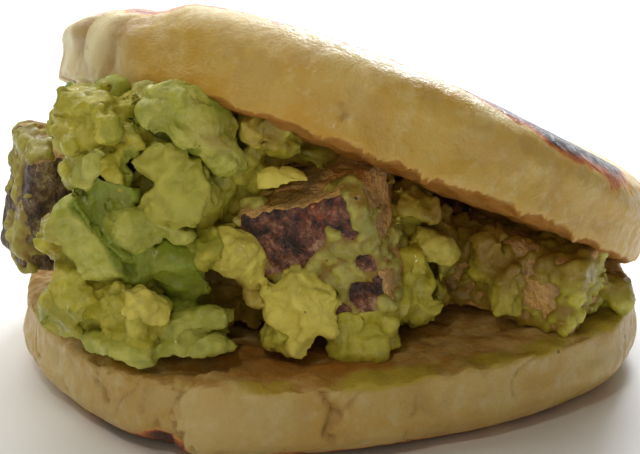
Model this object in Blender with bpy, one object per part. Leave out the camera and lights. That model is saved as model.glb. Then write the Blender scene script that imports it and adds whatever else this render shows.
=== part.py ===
"""A stuffed corn cake: two griddled halves, opened like a clam round avocado and browned meat.

The origin is the middle of the flat face that the lower half rests on. +Z is up, -Y is the open
front, and the halves meet at the back right. Lengths are in metres.
"""

import math

import bmesh
import bpy
from mathutils import Euler, Matrix, Vector, noise

MM = 0.001
GAP = 0.3 * MM  # between pieces that touch
ROOM = 0.45 * MM  # how far a cutter stands out from the piece that it makes room for

# The corn cake: two round halves, cut apart.
CAKE_RADIUS = 47.5 * MM
LOWER_THICKNESS = 12.0 * MM
UPPER_THICKNESS = 15.0 * MM
UPPER_BASE = LOWER_THICKNESS + GAP + 0.1 * MM  # the height at which the halves meet
CUT_EDGE = 1.6 * MM  # rounding where the cut face turns into the rim
GRIDDLE_EDGE = 7.5 * MM  # rounding where the rim turns into the griddled face
WIDEST = 6.4 * MM  # the height over the griddled face at which a half is widest
RIM_STEPS = 52
SKIN = 0.7 * MM  # how uneven the skin is
# Where the upper half is pressed thinner: (direction in degrees, share, reach in degrees).
PRESSED = ((190, 0.20, 48), (-42, 0.15, 38))

# How the upper half rises from the lower one, along the line from where they meet to the open side.
HINGE_DIRECTION = math.radians(45)
HINGE = Vector((math.cos(HINGE_DIRECTION), math.sin(HINGE_DIRECTION), 0.0))
OPENING_ANGLE = math.radians(28.9)
OPENING_BEND = 30.0 * MM
BEND_STEP = 0.5 * MM
SAG = 3.1 * MM  # how far the left end of the upper half hangs down
SAG_START = 16.0 * MM
SAG_REACH = 11.0 * MM

# The heap of crushed avocado between the halves.
MASH_RADIUS = 37.5 * MM
MASH_STEPS = 38
MASH_LAYERS = 5
MASH_ROOM = 0.75 * MM
MASH_CAP_RINGS = (0.35, 0.7)

BREAD = (0.86, 0.74, 0.47)
AVOCADO = (0.55, 0.55, 0.16)
AVOCADO_GREEN = (0.42, 0.52, 0.17)
AVOCADO_YELLOW = (0.72, 0.66, 0.24)
SEARED_MEAT = (0.30, 0.18, 0.11)

# Diced meat: (name, centre mm, size mm, turn in degrees, seed).
MEAT_CUBES = (
    ("meat_centre", (0.5, -26.8, 27.4), (18, 18, 19.5), (8, -16, -14), 1),
    ("meat_left", (-38.8, -10.5, 27.0), (15, 15, 19), (4, 10, 20), 2),
    ("meat_right", (28.5, -17.3, 18.9), (23, 12, 12), (4, 5, -27), 3),
    ("meat_behind", (14.0, -12.0, 24.4), (11, 9, 11), (12, 20, 30), 4),
)

# Pieces of avocado: (name, material, centre mm, size mm, turn in degrees, seed, segments).
AVOCADO_CHUNKS = (
    ("avocado_slab_upper", "green_avocado", (-18.5, -34.0, 45.6), (15, 9, 11), (12, 28, -14), 11, 12),
    ("avocado_block_left", "crushed_avocado", (-32.8, -26.8, 42.3), (13, 12, 14), (0, 10, 30), 12, 12),
    ("avocado_lump_mid", "yellow_avocado", (-21.5, -35.5, 35.2), (12, 8, 12), (10, -8, 0), 13, 12),
    ("avocado_slice", "green_avocado", (-29.5, -32.5, 28.6), (18, 10, 11), (0, 40, -30), 14, 12),
    ("avocado_slab_low", "green_avocado", (-16.5, -31.0, 24.8), (13, 10, 14), (0, 20, 0), 15, 12),
    ("avocado_lump_low", "crushed_avocado", (-31.5, -30.5, 19.6), (18, 12, 12), (0, 8, -38), 16, 12),
    ("avocado_leaves_low", "green_avocado", (-22.0, -35.2, 15.8), (23, 10, 8), (0, 3, -8), 17, 12),
    ("avocado_shoulder", "yellow_avocado", (-7.8, -31.0, 41.8), (11, 9, 7), (0, 24, 0), 18, 12),
    ("avocado_wedge", "yellow_avocado", (-11.4, -33.0, 24.6), (8, 7, 14), (0, -14, 10), 19, 10),
    ("avocado_lump_front", "yellow_avocado", (-3.0, -36.0, 18.8), (13, 9, 14), (8, -10, 0), 20, 12),
    ("avocado_under", "crushed_avocado", (5.2, -31.5, 16.6), (13, 12, 9.5), (0, -12, 12), 25, 12),
    ("avocado_side", "crushed_avocado", (12.2, -26.5, 21.0), (7, 11, 16), (0, 8, 10), 21, 10),
    ("avocado_flake_right", "yellow_avocado", (16.3, -24.5, 25.4), (8, 5, 4), (0, 18, 10), 22, 10),
    ("avocado_flake_top", "yellow_avocado", (-6.6, -34.0, 39.0), (8, 5, 3.4), (0, 10, -6), 23, 10),
    ("avocado_end", "crushed_avocado", (42.6, -15.0, 14.6), (7.5, 8, 8), (0, 0, 0), 24, 10),
)


def clear_scene():
    for obj in list(bpy.data.objects):
        bpy.data.objects.remove(obj)


def material(name, colour, roughness):
    """A Principled material without metal."""
    made = bpy.data.materials.new(name)
    made.use_nodes = True
    shader = made.node_tree.nodes["Principled BSDF"]
    shader.inputs["Base Color"].default_value = (*colour, 1.0)
    shader.inputs["Roughness"].default_value = roughness
    shader.inputs["Metallic"].default_value = 0.0
    return made


def object_from(name, bm, dressed):
    """Turns a closed bmesh into a smooth-shaded object with one material, its faces pointing out."""
    bmesh.ops.recalc_face_normals(bm, faces=bm.faces)
    if bm.calc_volume(signed=True) < 0:
        bmesh.ops.reverse_faces(bm, faces=bm.faces)
    bmesh.ops.triangulate(bm, faces=bm.faces)
    mesh = bpy.data.meshes.new(name)
    bm.to_mesh(mesh)
    bm.free()
    mesh.materials.append(dressed)
    mesh.shade_smooth()
    obj = bpy.data.objects.new(name, mesh)
    bpy.context.scene.collection.objects.link(obj)
    return obj


def bump(distance, width):
    """A bell curve of height 1 that has faded out at twice its width."""
    return math.exp(-((distance / width) ** 2))


def angle_between(a, b):
    """The turn from angle b to angle a, in radians, the short way round."""
    return (a - b + math.pi) % (2 * math.pi) - math.pi


def plan_swell(angle, swells):
    """The sum of swells in one direction of the plan: a swell is (direction, height, reach)."""
    return sum(
        height * bump(angle_between(angle, math.radians(direction)), math.radians(reach))
        for direction, height, reach in swells
    )


# --- the corn cake -----------------------------------------------------------------------------


def quarter(centre_r, centre_z, width, height, steps, start, end):
    """Points on part of an ellipse, from start to end degrees, without the first."""
    points = []
    for step in range(1, steps + 1):
        turn = math.radians(start + (end - start) * step / steps)
        points.append((centre_r + width * math.cos(turn), centre_z + height * math.sin(turn)))
    return points


def half_profile(thickness):
    """The half section of a half cake with its cut face up: from the middle of the cut face, round the
    rim, to the middle of the griddled face at height 0."""
    cut_r = CAKE_RADIUS - CUT_EDGE
    flat_r = CAKE_RADIUS - GRIDDLE_EDGE
    points = [(0.0, thickness)]
    points += [(cut_r * share, thickness) for share in (0.3, 0.55, 0.78, 0.92, 1.0)]
    points += quarter(cut_r, thickness - CUT_EDGE, CUT_EDGE * 0.7, CUT_EDGE, 2, 90, 20)
    points += quarter(flat_r, WIDEST, GRIDDLE_EDGE, thickness - CUT_EDGE - WIDEST, 2, 55, 0)
    points += quarter(flat_r, WIDEST, GRIDDLE_EDGE, WIDEST, 5, 0, -90)
    points += [(flat_r * share, 0.0) for share in (0.72, 0.4)]
    return points + [(0.0, 0.0)]


def turned(profile, steps):
    """The closed body that the half section makes when it is spun round Z."""
    bm = bmesh.new()
    verts = [bm.verts.new((r, 0.0, z)) for r, z in profile]
    edges = [bm.edges.new(pair) for pair in zip(verts, verts[1:])]
    bmesh.ops.spin(
        bm,
        geom=verts + edges,
        cent=(0, 0, 0),
        axis=(0, 0, 1),
        angle=2 * math.pi,
        steps=steps,
        use_merge=True,
    )
    bmesh.ops.remove_doubles(bm, verts=bm.verts, dist=0.01 * MM)
    return bm


def knead(bm, swells, lumps, thickness):
    """Gives a turned half its hand-shaped outline, the lumps of its torn rim and an uneven skin.

    A lump is (direction, height on the rim, how far it stands out, reach). The griddled face stays
    flat, because the cake browned on a plate."""
    middle = CAKE_RADIUS * 0.3
    for vert in bm.verts:
        radius = math.hypot(vert.co.x, vert.co.y)
        if radius < middle:
            continue
        angle = math.atan2(vert.co.y, vert.co.x)
        outward = Vector((math.cos(angle), math.sin(angle), 0.0))
        share = (radius - middle) / (CAKE_RADIUS - middle)
        vert.co += outward * plan_swell(angle, swells) * share
        for direction, height, stands_out, reach in lumps:
            along = angle_between(angle, math.radians(direction)) * radius
            away = math.hypot(along, vert.co.z - height)
            vert.co += outward * stands_out * bump(away, reach) * share**4
        if vert.co.z > 0.1 * MM:
            wrinkle = noise.noise(vert.co / (9 * MM)) + 0.5 * noise.noise(vert.co / (4 * MM))
            vert.co += outward * SKIN * wrinkle * share**3
            if vert.co.z < thickness - 0.1 * MM:
                vert.co.z += 0.5 * SKIN * wrinkle * share**3


def lower_half(bread):
    swells = (
        (-118, 2.4 * MM, 26),
        (-70, -3.3 * MM, 28),
        (-20, 2.2 * MM, 16),
        (-172, -0.5 * MM, 24),
    )
    lumps = (
        (-118, 4 * MM, 1.2 * MM, 9 * MM),
        (-136, 6 * MM, -1.0 * MM, 3 * MM),
        (-92, 6 * MM, -0.8 * MM, 3 * MM),
        (-165, 7 * MM, 0.8 * MM, 7 * MM),
    )
    bm = turned(half_profile(LOWER_THICKNESS), RIM_STEPS)
    knead(bm, swells, lumps, LOWER_THICKNESS)
    return object_from("lower_half", bm, bread)


class Opening:
    """The curve that the upper half follows: flat where the halves meet, then rising."""

    def __init__(self):
        self.stations = [(0.0, 0.0, 0.0)]
        length = along = height = 0.0
        while length < 2.4 * CAKE_RADIUS:
            length += BEND_STEP
            angle = self.angle(length)
            along += BEND_STEP * math.cos(angle)
            height += BEND_STEP * math.sin(angle)
            self.stations.append((length, along, height))

    @staticmethod
    def angle(length):
        """The rise of the bread at a distance from where the halves meet."""
        return OPENING_ANGLE * min(1.0, max(0.0, length / OPENING_BEND))

    def at(self, length):
        """(distance along the table, height) of a point on the cut face."""
        if length <= 0:
            return length, 0.0
        start, along, height = self.stations[int(length / BEND_STEP)]
        rest = length - start
        angle = self.angle(length)
        return along + rest * math.cos(angle), height + rest * math.sin(angle)

    def height_over(self, distance):
        """The height of the cut face at a distance along the table."""
        if distance <= 0:
            return 0.0
        for (_, low, low_height), (_, high, high_height) in zip(self.stations, self.stations[1:]):
            if high >= distance:
                return low_height + (high_height - low_height) * (distance - low) / (high - low)
        return self.stations[-1][2]

    def raised(self, point):
        """Where a point of a half lying flat, cut face down at height 0, is in the open cake."""
        towards_hinge = point.dot(HINGE)
        across = Vector((point.x, point.y, 0.0)) - HINGE * towards_hinge
        length = CAKE_RADIUS - towards_hinge
        along, height = self.at(length)
        angle = self.angle(length)
        normal = Vector((0, 0, math.cos(angle))) + HINGE * math.sin(angle)
        place = HINGE * (CAKE_RADIUS - along) + across + normal * point.z
        return place + Vector((0, 0, UPPER_BASE + height - sag(place.x)))

    def ceiling(self, x, y):
        """The height of the upper half's cut face over a place on the table."""
        along = CAKE_RADIUS - Vector((x, y, 0.0)).dot(HINGE)
        return UPPER_BASE + self.height_over(along) - sag(x)


def sag(x):
    """How far the left end of the upper half has dropped."""
    return SAG * (1 - bump(max(0.0, -x - SAG_START), SAG_REACH))


def upper_half(bread, opening):
    swells = (
        (5, 1.5 * MM, 30),
        (-150, 0.6 * MM, 25),
    )
    lumps = (
        (-176, 5.5 * MM, 1.8 * MM, 4.5 * MM),
        (-160, 6.5 * MM, 1.6 * MM, 4.0 * MM),
        (-168, 6.0 * MM, -1.6 * MM, 2.2 * MM),
        (-146, 5.5 * MM, 1.2 * MM, 5.0 * MM),
        (-153, 6.0 * MM, -1.3 * MM, 2.4 * MM),
        (165, 6.0 * MM, 1.3 * MM, 5.0 * MM),
    )
    bm = turned(half_profile(UPPER_THICKNESS), RIM_STEPS)
    knead(bm, swells, lumps, UPPER_THICKNESS)
    for vert in bm.verts:
        share = math.hypot(vert.co.x, vert.co.y) / CAKE_RADIUS
        pressed = plan_swell(math.atan2(vert.co.y, vert.co.x), PRESSED) * share**2
        domed = 0.94 + 0.1 * (1 - share**2)
        vert.co.z = (UPPER_THICKNESS - vert.co.z) * (domed - pressed)
        vert.co = opening.raised(vert.co)
    return object_from("upper_half", bm, bread)


# --- the filling -------------------------------------------------------------------------------


def placed(bm, centre, turn):
    """Turns a shape by Euler angles in degrees and moves it to its centre, given in millimetres."""
    rotation = Euler([math.radians(angle) for angle in turn]).to_matrix().to_4x4()
    bmesh.ops.transform(bm, matrix=Matrix.Translation(Vector(centre) * MM) @ rotation, verts=bm.verts)
    return bm


def squared_off(bm, size, power):
    """Pulls a round or cubic shape to a box of a size in millimetres with soft corners."""
    for vert in bm.verts:
        reach = sum(abs(part) ** power for part in vert.co) ** (1 / power)
        vert.co = Vector([part * side * MM / 2 for part, side in zip(vert.co / reach, size)])


def roughen(bm, coarse, fine, seed):
    """Moves every vertex in or out by noise of two sizes, as (depth, wavelength)."""
    shift = Vector((seed * 7.3, seed * -3.1, seed * 5.7))
    bm.normal_update()
    for vert in bm.verts:
        for depth, wavelength in (coarse, fine):
            vert.co += vert.normal * depth * noise.noise(vert.co / wavelength + shift)


def avocado_chunk(centre, size, turn, seed, segments):
    """A crushed piece of avocado: an uneven, slightly blocky ball."""
    bm = bmesh.new()
    bmesh.ops.create_uvsphere(bm, u_segments=segments, v_segments=segments * 2 // 3, radius=1.0)
    squared_off(bm, size, 3)
    roughen(bm, (0.16 * min(size) * MM, 0.6 * max(size) * MM), (0.7 * MM, 3.2 * MM), seed)
    return placed(bm, centre, turn)


def meat_cube(centre, size, turn, seed):
    """A diced, browned piece of meat: a box with soft corners and an uneven crust."""
    bm = bmesh.new()
    bmesh.ops.create_cube(bm, size=2.0)
    bmesh.ops.subdivide_edges(bm, edges=bm.edges, cuts=3, use_grid_fill=True)
    squared_off(bm, size, 7)
    roughen(bm, (1.4 * MM, 9 * MM), (0.5 * MM, 3 * MM), seed)
    return placed(bm, centre, turn)


def mash_radius(angle, layer):
    """How far the heap reaches at a layer from 0, on the bread, to 1, under the upper half."""
    swells = (
        (-92, -15.0 * MM, 20),
        (-38, -10.5 * MM, 24),
        (45, -8.5 * MM, 32),
        (-138, 6.0 * MM, 24),
        (-176, -3.0 * MM, 14),
    )
    radius = MASH_RADIUS + plan_swell(angle, swells) - 2.4 * MM * (2 * layer - 1) ** 4
    seat = Vector((radius * math.cos(angle), radius * math.sin(angle), 20 * MM * layer))
    return radius + 1.6 * MM * noise.noise(seat / (8 * MM)) + 0.8 * MM * noise.noise(seat / (3.5 * MM))


def mash_heap(opening):
    """The heap that fills the wedge between the halves, hollowed at the front where the meat sits."""
    floor = LOWER_THICKNESS + MASH_ROOM
    bm = bmesh.new()

    def ring(share, layer):
        points = []
        for step in range(MASH_STEPS):
            angle = 2 * math.pi * step / MASH_STEPS
            radius = mash_radius(angle, layer) * share
            x, y = radius * math.cos(angle), radius * math.sin(angle)
            top = opening.ceiling(x, y) - MASH_ROOM
            points.append(bm.verts.new((x, y, floor + (top - floor) * layer)))
        return points

    stack = [ring(share, 0.0) for share in MASH_CAP_RINGS]
    stack += [ring(1.0, layer / MASH_LAYERS) for layer in range(MASH_LAYERS + 1)]
    stack += [ring(share, 1.0) for share in reversed(MASH_CAP_RINGS)]
    for low, high in zip(stack, stack[1:]):
        for step in range(MASH_STEPS):
            after = (step + 1) % MASH_STEPS
            bm.faces.new((low[step], low[after], high[after], high[step]))
    for end, height in ((stack[0], floor), (stack[-1], opening.ceiling(0, 0) - MASH_ROOM)):
        middle = bm.verts.new((0, 0, height))
        for step in range(MASH_STEPS):
            bm.faces.new((end[step], end[(step + 1) % MASH_STEPS], middle))
    return bm


def box_of(obj):
    """The lowest and the highest corner of the box round an object's mesh."""
    corners = [vert.co for vert in obj.data.vertices]
    low = [min(corner[axis] for corner in corners) for axis in range(3)]
    high = [max(corner[axis] for corner in corners) for axis in range(3)]
    return low, high


def near(a, b):
    """Whether the boxes round two objects meet."""
    (low_a, high_a), (low_b, high_b) = box_of(a), box_of(b)
    return all(low_a[axis] < high_b[axis] and low_b[axis] < high_a[axis] for axis in range(3))


def grown_copy(obj):
    """A hidden copy of an object that stands out from it by the room between touching pieces."""
    bm = bmesh.new()
    bm.from_mesh(obj.data)
    bm.normal_update()
    for vert, normal in [(vert, vert.normal.copy()) for vert in bm.verts]:
        vert.co += normal * ROOM
    cutter = object_from(obj.name + "_room", bm, obj.data.materials[0])
    cutter.hide_render = True
    cutter.display_type = "WIRE"
    return cutter


def keep_largest(bm):
    """Deletes every part of a mesh that isn't joined to its largest part."""
    left = set(bm.verts)
    parts = []
    while left:
        part, ahead = [], [left.pop()]
        while ahead:
            vert = ahead.pop()
            part.append(vert)
            for edge in vert.link_edges:
                other = edge.other_vert(vert)
                if other in left:
                    left.remove(other)
                    ahead.append(other)
        parts.append(part)
    parts.sort(key=len)
    bmesh.ops.delete(bm, geom=[vert for part in parts[:-1] for vert in part], context="VERTS")


def make_room(obj, cutters):
    """Cuts an object back so that it keeps clear of the cutters, and keeps its main part."""
    for cutter in cutters:
        if not near(obj, cutter):
            continue
        cut = obj.modifiers.new("make_room", "BOOLEAN")
        cut.object = cutter
        cut.operation = "DIFFERENCE"
        bm = bmesh.new()
        bm.from_object(obj, bpy.context.evaluated_depsgraph_get())
        obj.modifiers.remove(cut)
        bmesh.ops.remove_doubles(bm, verts=bm.verts, dist=0.005 * MM)
        keep_largest(bm)
        bmesh.ops.triangulate(bm, faces=bm.faces)
        bm.to_mesh(obj.data)
        bm.free()


def filling(opening, halves):
    """Every piece between the halves, the meat first, each cut back to make room for those before."""
    dressings = {
        "seared_meat": material("seared_meat", SEARED_MEAT, 0.55),
        "crushed_avocado": material("crushed_avocado", AVOCADO, 0.4),
        "green_avocado": material("green_avocado", AVOCADO_GREEN, 0.4),
        "yellow_avocado": material("yellow_avocado", AVOCADO_YELLOW, 0.4),
    }
    cutters = [grown_copy(half) for half in halves]

    def settle(name, bm, dressing):
        """Makes a piece, and cuts it back from those that came before."""
        obj = object_from(name, bm, dressings[dressing])
        room = grown_copy(obj)
        make_room(obj, cutters)
        cutters.append(room)

    for name, centre, size, turn, seed in MEAT_CUBES:
        settle(name, meat_cube(centre, size, turn, seed), "seared_meat")
    for name, dressing, centre, size, turn, seed, segments in AVOCADO_CHUNKS:
        settle(name, avocado_chunk(centre, size, turn, seed, segments), dressing)
    settle("avocado_mash", mash_heap(opening), "crushed_avocado")
    for cutter in cutters:
        bpy.data.objects.remove(cutter)


def main():
    clear_scene()
    opening = Opening()
    bread = material("corn_bread", BREAD, 0.6)
    halves = [lower_half(bread), upper_half(bread, opening)]
    filling(opening, halves)


main()
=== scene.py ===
"""A griddled corn cake, split and opened like a clam round crushed avocado and browned meat.

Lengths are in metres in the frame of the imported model: +Z is up, -Y is the open front, and the
halves meet at the back right. Sizes and places that are easier to read in millimetres are given in
millimetres, and say so.
"""

import logging
import math
import random
from contextlib import contextmanager
from dataclasses import dataclass, field
from enum import Enum
from typing import Iterator, Sequence

import bpy
import numpy as np
from mathutils import Euler, Matrix, Vector, noise
from mathutils.bvhtree import BVHTree

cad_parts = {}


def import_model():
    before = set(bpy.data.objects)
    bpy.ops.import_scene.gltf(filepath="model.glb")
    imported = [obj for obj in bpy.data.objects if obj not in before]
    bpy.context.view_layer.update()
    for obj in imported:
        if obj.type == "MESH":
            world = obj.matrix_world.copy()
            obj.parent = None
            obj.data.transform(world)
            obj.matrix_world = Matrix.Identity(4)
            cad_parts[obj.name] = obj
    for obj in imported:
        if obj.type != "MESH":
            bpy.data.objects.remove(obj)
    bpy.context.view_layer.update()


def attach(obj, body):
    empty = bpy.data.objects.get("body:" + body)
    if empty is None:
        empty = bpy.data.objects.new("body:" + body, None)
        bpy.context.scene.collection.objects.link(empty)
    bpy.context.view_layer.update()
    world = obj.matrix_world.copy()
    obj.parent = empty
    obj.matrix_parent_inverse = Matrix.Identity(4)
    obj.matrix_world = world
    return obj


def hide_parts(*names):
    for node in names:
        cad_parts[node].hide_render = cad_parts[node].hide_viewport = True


MM = 0.001
BODY = "root"
Triple = tuple[float, float, float]
Colour = tuple[float, float, float]

log = logging.getLogger("corn cake")


# --- tools for shaping ---------------------------------------------------------------------------


class Shape(Enum):
    """How a piece of avocado was made."""

    LUMP = "crushed or torn off with a fork"
    FLAKE = "pressed thin, with torn edges"
    SLICE = "cut with a knife"


def only(obj: bpy.types.Object) -> None:
    """Makes one object the selected and the active one."""
    bpy.ops.object.select_all(action="DESELECT")
    obj.select_set(True)
    bpy.context.view_layer.objects.active = obj


@contextmanager
def editing(obj: bpy.types.Object) -> Iterator[None]:
    """Opens an object in edit mode with everything selected, and leaves edit mode at the end."""
    only(obj)
    bpy.ops.object.mode_set(mode="EDIT")
    bpy.ops.mesh.select_all(action="SELECT")
    yield
    bpy.ops.object.mode_set(mode="OBJECT")


def finish_with(obj: bpy.types.Object, kind: str, **settings: object) -> None:
    """Adds a modifier, sets it and applies it.

    Args:
        obj: The piece to change.
        kind: The modifier's type, such as "REMESH".
        **settings: The modifier's own settings.
    """
    modifier = obj.modifiers.new(kind.title(), kind)
    for name, value in settings.items():
        setattr(modifier, name, value)
    only(obj)
    bpy.ops.object.modifier_apply(modifier=modifier.name)


def points_of(obj: bpy.types.Object) -> np.ndarray:
    """Returns the vertices of a mesh as rows of x, y, z."""
    flat = np.empty(len(obj.data.vertices) * 3, np.float32)
    obj.data.vertices.foreach_get("co", flat)
    return flat.reshape(-1, 3).astype(float)


def normals_of(obj: bpy.types.Object) -> np.ndarray:
    """Returns the vertex normals of a mesh as rows of x, y, z."""
    flat = np.empty(len(obj.data.vertices) * 3, np.float32)
    obj.data.vertex_normals.foreach_get("vector", flat)
    return flat.reshape(-1, 3).astype(float)


def move_points(obj: bpy.types.Object, points: np.ndarray) -> None:
    """Puts the vertices of a mesh at new places."""
    obj.data.vertices.foreach_set("co", points.astype(np.float32).ravel())
    obj.data.update()


def keep_on(obj: bpy.types.Object, name: str, values: np.ndarray) -> None:
    """Stores one number from 0 to 1 for each vertex, for the materials to read."""
    attribute = obj.data.attributes.new(name, "FLOAT", "POINT")
    attribute.data.foreach_set("value", np.clip(values, 0, 1).astype(np.float32))


def kept(obj: bpy.types.Object, name: str) -> np.ndarray:
    """Returns the numbers that keep_on stored."""
    values = np.empty(len(obj.data.vertices), np.float32)
    obj.data.attributes[name].data.foreach_get("value", values)
    return values.astype(float)


def mesh_arrays(obj: bpy.types.Object) -> tuple[np.ndarray, list[tuple[int, ...]]]:
    """Returns the vertices of an object, in the shared frame, and its faces."""
    matrix = np.array(obj.matrix_world)
    points = points_of(obj) @ matrix[:3, :3].T + matrix[:3, 3]
    return points, [tuple(face.vertices) for face in obj.data.polygons]


def joined(name: str, parts: Sequence[tuple[np.ndarray, list[tuple[int, ...]]]]) -> bpy.types.Object:
    """Makes one object, at the origin, of several meshes."""
    points = np.concatenate([part[0] for part in parts])
    faces: list[tuple[int, ...]] = []
    start = 0
    for part_points, part_faces in parts:
        faces += [tuple(corner + start for corner in face) for face in part_faces]
        start += len(part_points)
    mesh = bpy.data.meshes.new(name)
    mesh.from_pydata(points.tolist(), [], faces)
    mesh.update()
    obj = bpy.data.objects.new(name, mesh)
    bpy.context.scene.collection.objects.link(obj)
    return obj


def copy_of_solid(node: str, name: str) -> bpy.types.Object:
    """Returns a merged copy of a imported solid, with quads where two of its triangles lie flat."""
    solid = bpy.data.objects[node]
    obj = bpy.data.objects.new(name, solid.data.copy())
    bpy.context.scene.collection.objects.link(obj)
    obj.data.materials.clear()
    with editing(obj):
        bpy.ops.mesh.remove_doubles(threshold=0.002 * MM)
        bpy.ops.mesh.tris_convert_to_quads(face_threshold=math.radians(30), shape_threshold=math.radians(40))
    return obj


def smoothstep(low: float, high: float, values: np.ndarray) -> np.ndarray:
    """Returns 0 below low, 1 above high, and a smooth rise between them."""
    share = np.clip((values - low) / (high - low), 0, 1)
    return share * share * (3 - 2 * share)


def bell(distance: np.ndarray, width: float) -> np.ndarray:
    """Returns a bell curve of height 1 over a distance."""
    return np.exp(-((distance / width) ** 2))


def uneven(points: np.ndarray, wavelength: float, seed: int) -> np.ndarray:
    """Returns soft noise from about -1 to 1 at each point."""
    shift = np.array((seed * 7.31, seed * -3.17, seed * 5.73))
    return np.array([noise.noise(place) for place in (points / wavelength + shift).tolist()]) * 1.6


def creases(points: np.ndarray, wavelength: float, seed: int) -> np.ndarray:
    """Returns 0 along the creases between rounded lobes, and up to about 1 in their middles."""
    shift = np.array((seed * 7.31, seed * -3.17, seed * 5.73))
    found = []
    for place in (points / wavelength + shift).tolist():
        distances = noise.voronoi(place)[0]
        found.append(distances[1] - distances[0])
    return np.array(found)


def terraces(values: np.ndarray, steps: float) -> np.ndarray:
    """Returns values that climb in crisp steps, as flesh and dough do where they tear in flakes."""
    scaled = values * steps
    whole = np.floor(scaled)
    return (whole + smoothstep(0.6, 1.0, scaled - whole)) / steps


def within(points: np.ndarray, centre: Triple, reach: Triple) -> np.ndarray:
    """Returns how far each point is from a centre, where 1 is the edge of an oval; both in millimetres."""
    return np.linalg.norm((points / MM - np.array(centre)) / np.array(reach), axis=1)


def juice_and_shade_on(points: np.ndarray) -> np.ndarray:
    """Returns where juice of the meat has run into the avocado at both ends, and where shade is painted on it: deep
    inside, under the bread and in the hollow beside the meat.
    """
    x, y = points[:, 0] / MM, points[:, 1] / MM
    right = smoothstep(15, 27, x) * smoothstep(40, 33, x)
    # deep, soaked and hollow are painted shade: behind, under the bread and in the dark gap beside the meat
    deep = smoothstep(-30, -18, y) * smoothstep(-14, 2, x) * smoothstep(40, 30, x)
    below_bread = 23.8 + points @ np.array((-0.342, -0.342, -0.875)) / MM
    soaked = smoothstep(7, 1, below_bread) * smoothstep(-24, -12, x)
    left = 0.4 * smoothstep(-33, -39, x) * smoothstep(16, 22, points[:, 2] / MM)
    hollow = 1.6 * bell(within(points, (-11.0, -26.0, 19.0), (5.5, 9.0, 8.0)), 1.0)
    return np.clip(0.5 * right + left + 0.7 * deep + 0.6 * soaked + hollow + 0.3 * uneven(points, 6 * MM, 71), 0, 1)


def distance_to_line(points: np.ndarray, line: Sequence[Triple]) -> np.ndarray:
    """Returns how far each point, in metres, is from a line through places in millimetres."""
    nearest = np.full(len(points), np.inf)
    for start, end in zip(line, line[1:]):
        a = np.array(start) * MM
        along = np.array(end) * MM - a
        share = np.clip(((points - a) @ along) / (along @ along), 0, 1)
        nearest = np.minimum(nearest, np.linalg.norm(points - a - share[:, None] * along, axis=1))
    return nearest


def distance_from_front(points: np.ndarray, line: Sequence[Triple]) -> np.ndarray:
    """Returns how far each point is from a line in the plane that leans back by 20 degrees at the open front."""
    lean = math.radians(20)
    flat = points.copy()
    flat[:, 2] = points[:, 1] * math.sin(lean) + points[:, 2] * math.cos(lean)
    flat[:, 1] = 0
    drawn = [(x, 0.0, y * math.sin(lean) + z * math.cos(lean)) for x, y, z in line]
    return distance_to_line(flat, drawn)


# --- shader nodes --------------------------------------------------------------------------------


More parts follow.
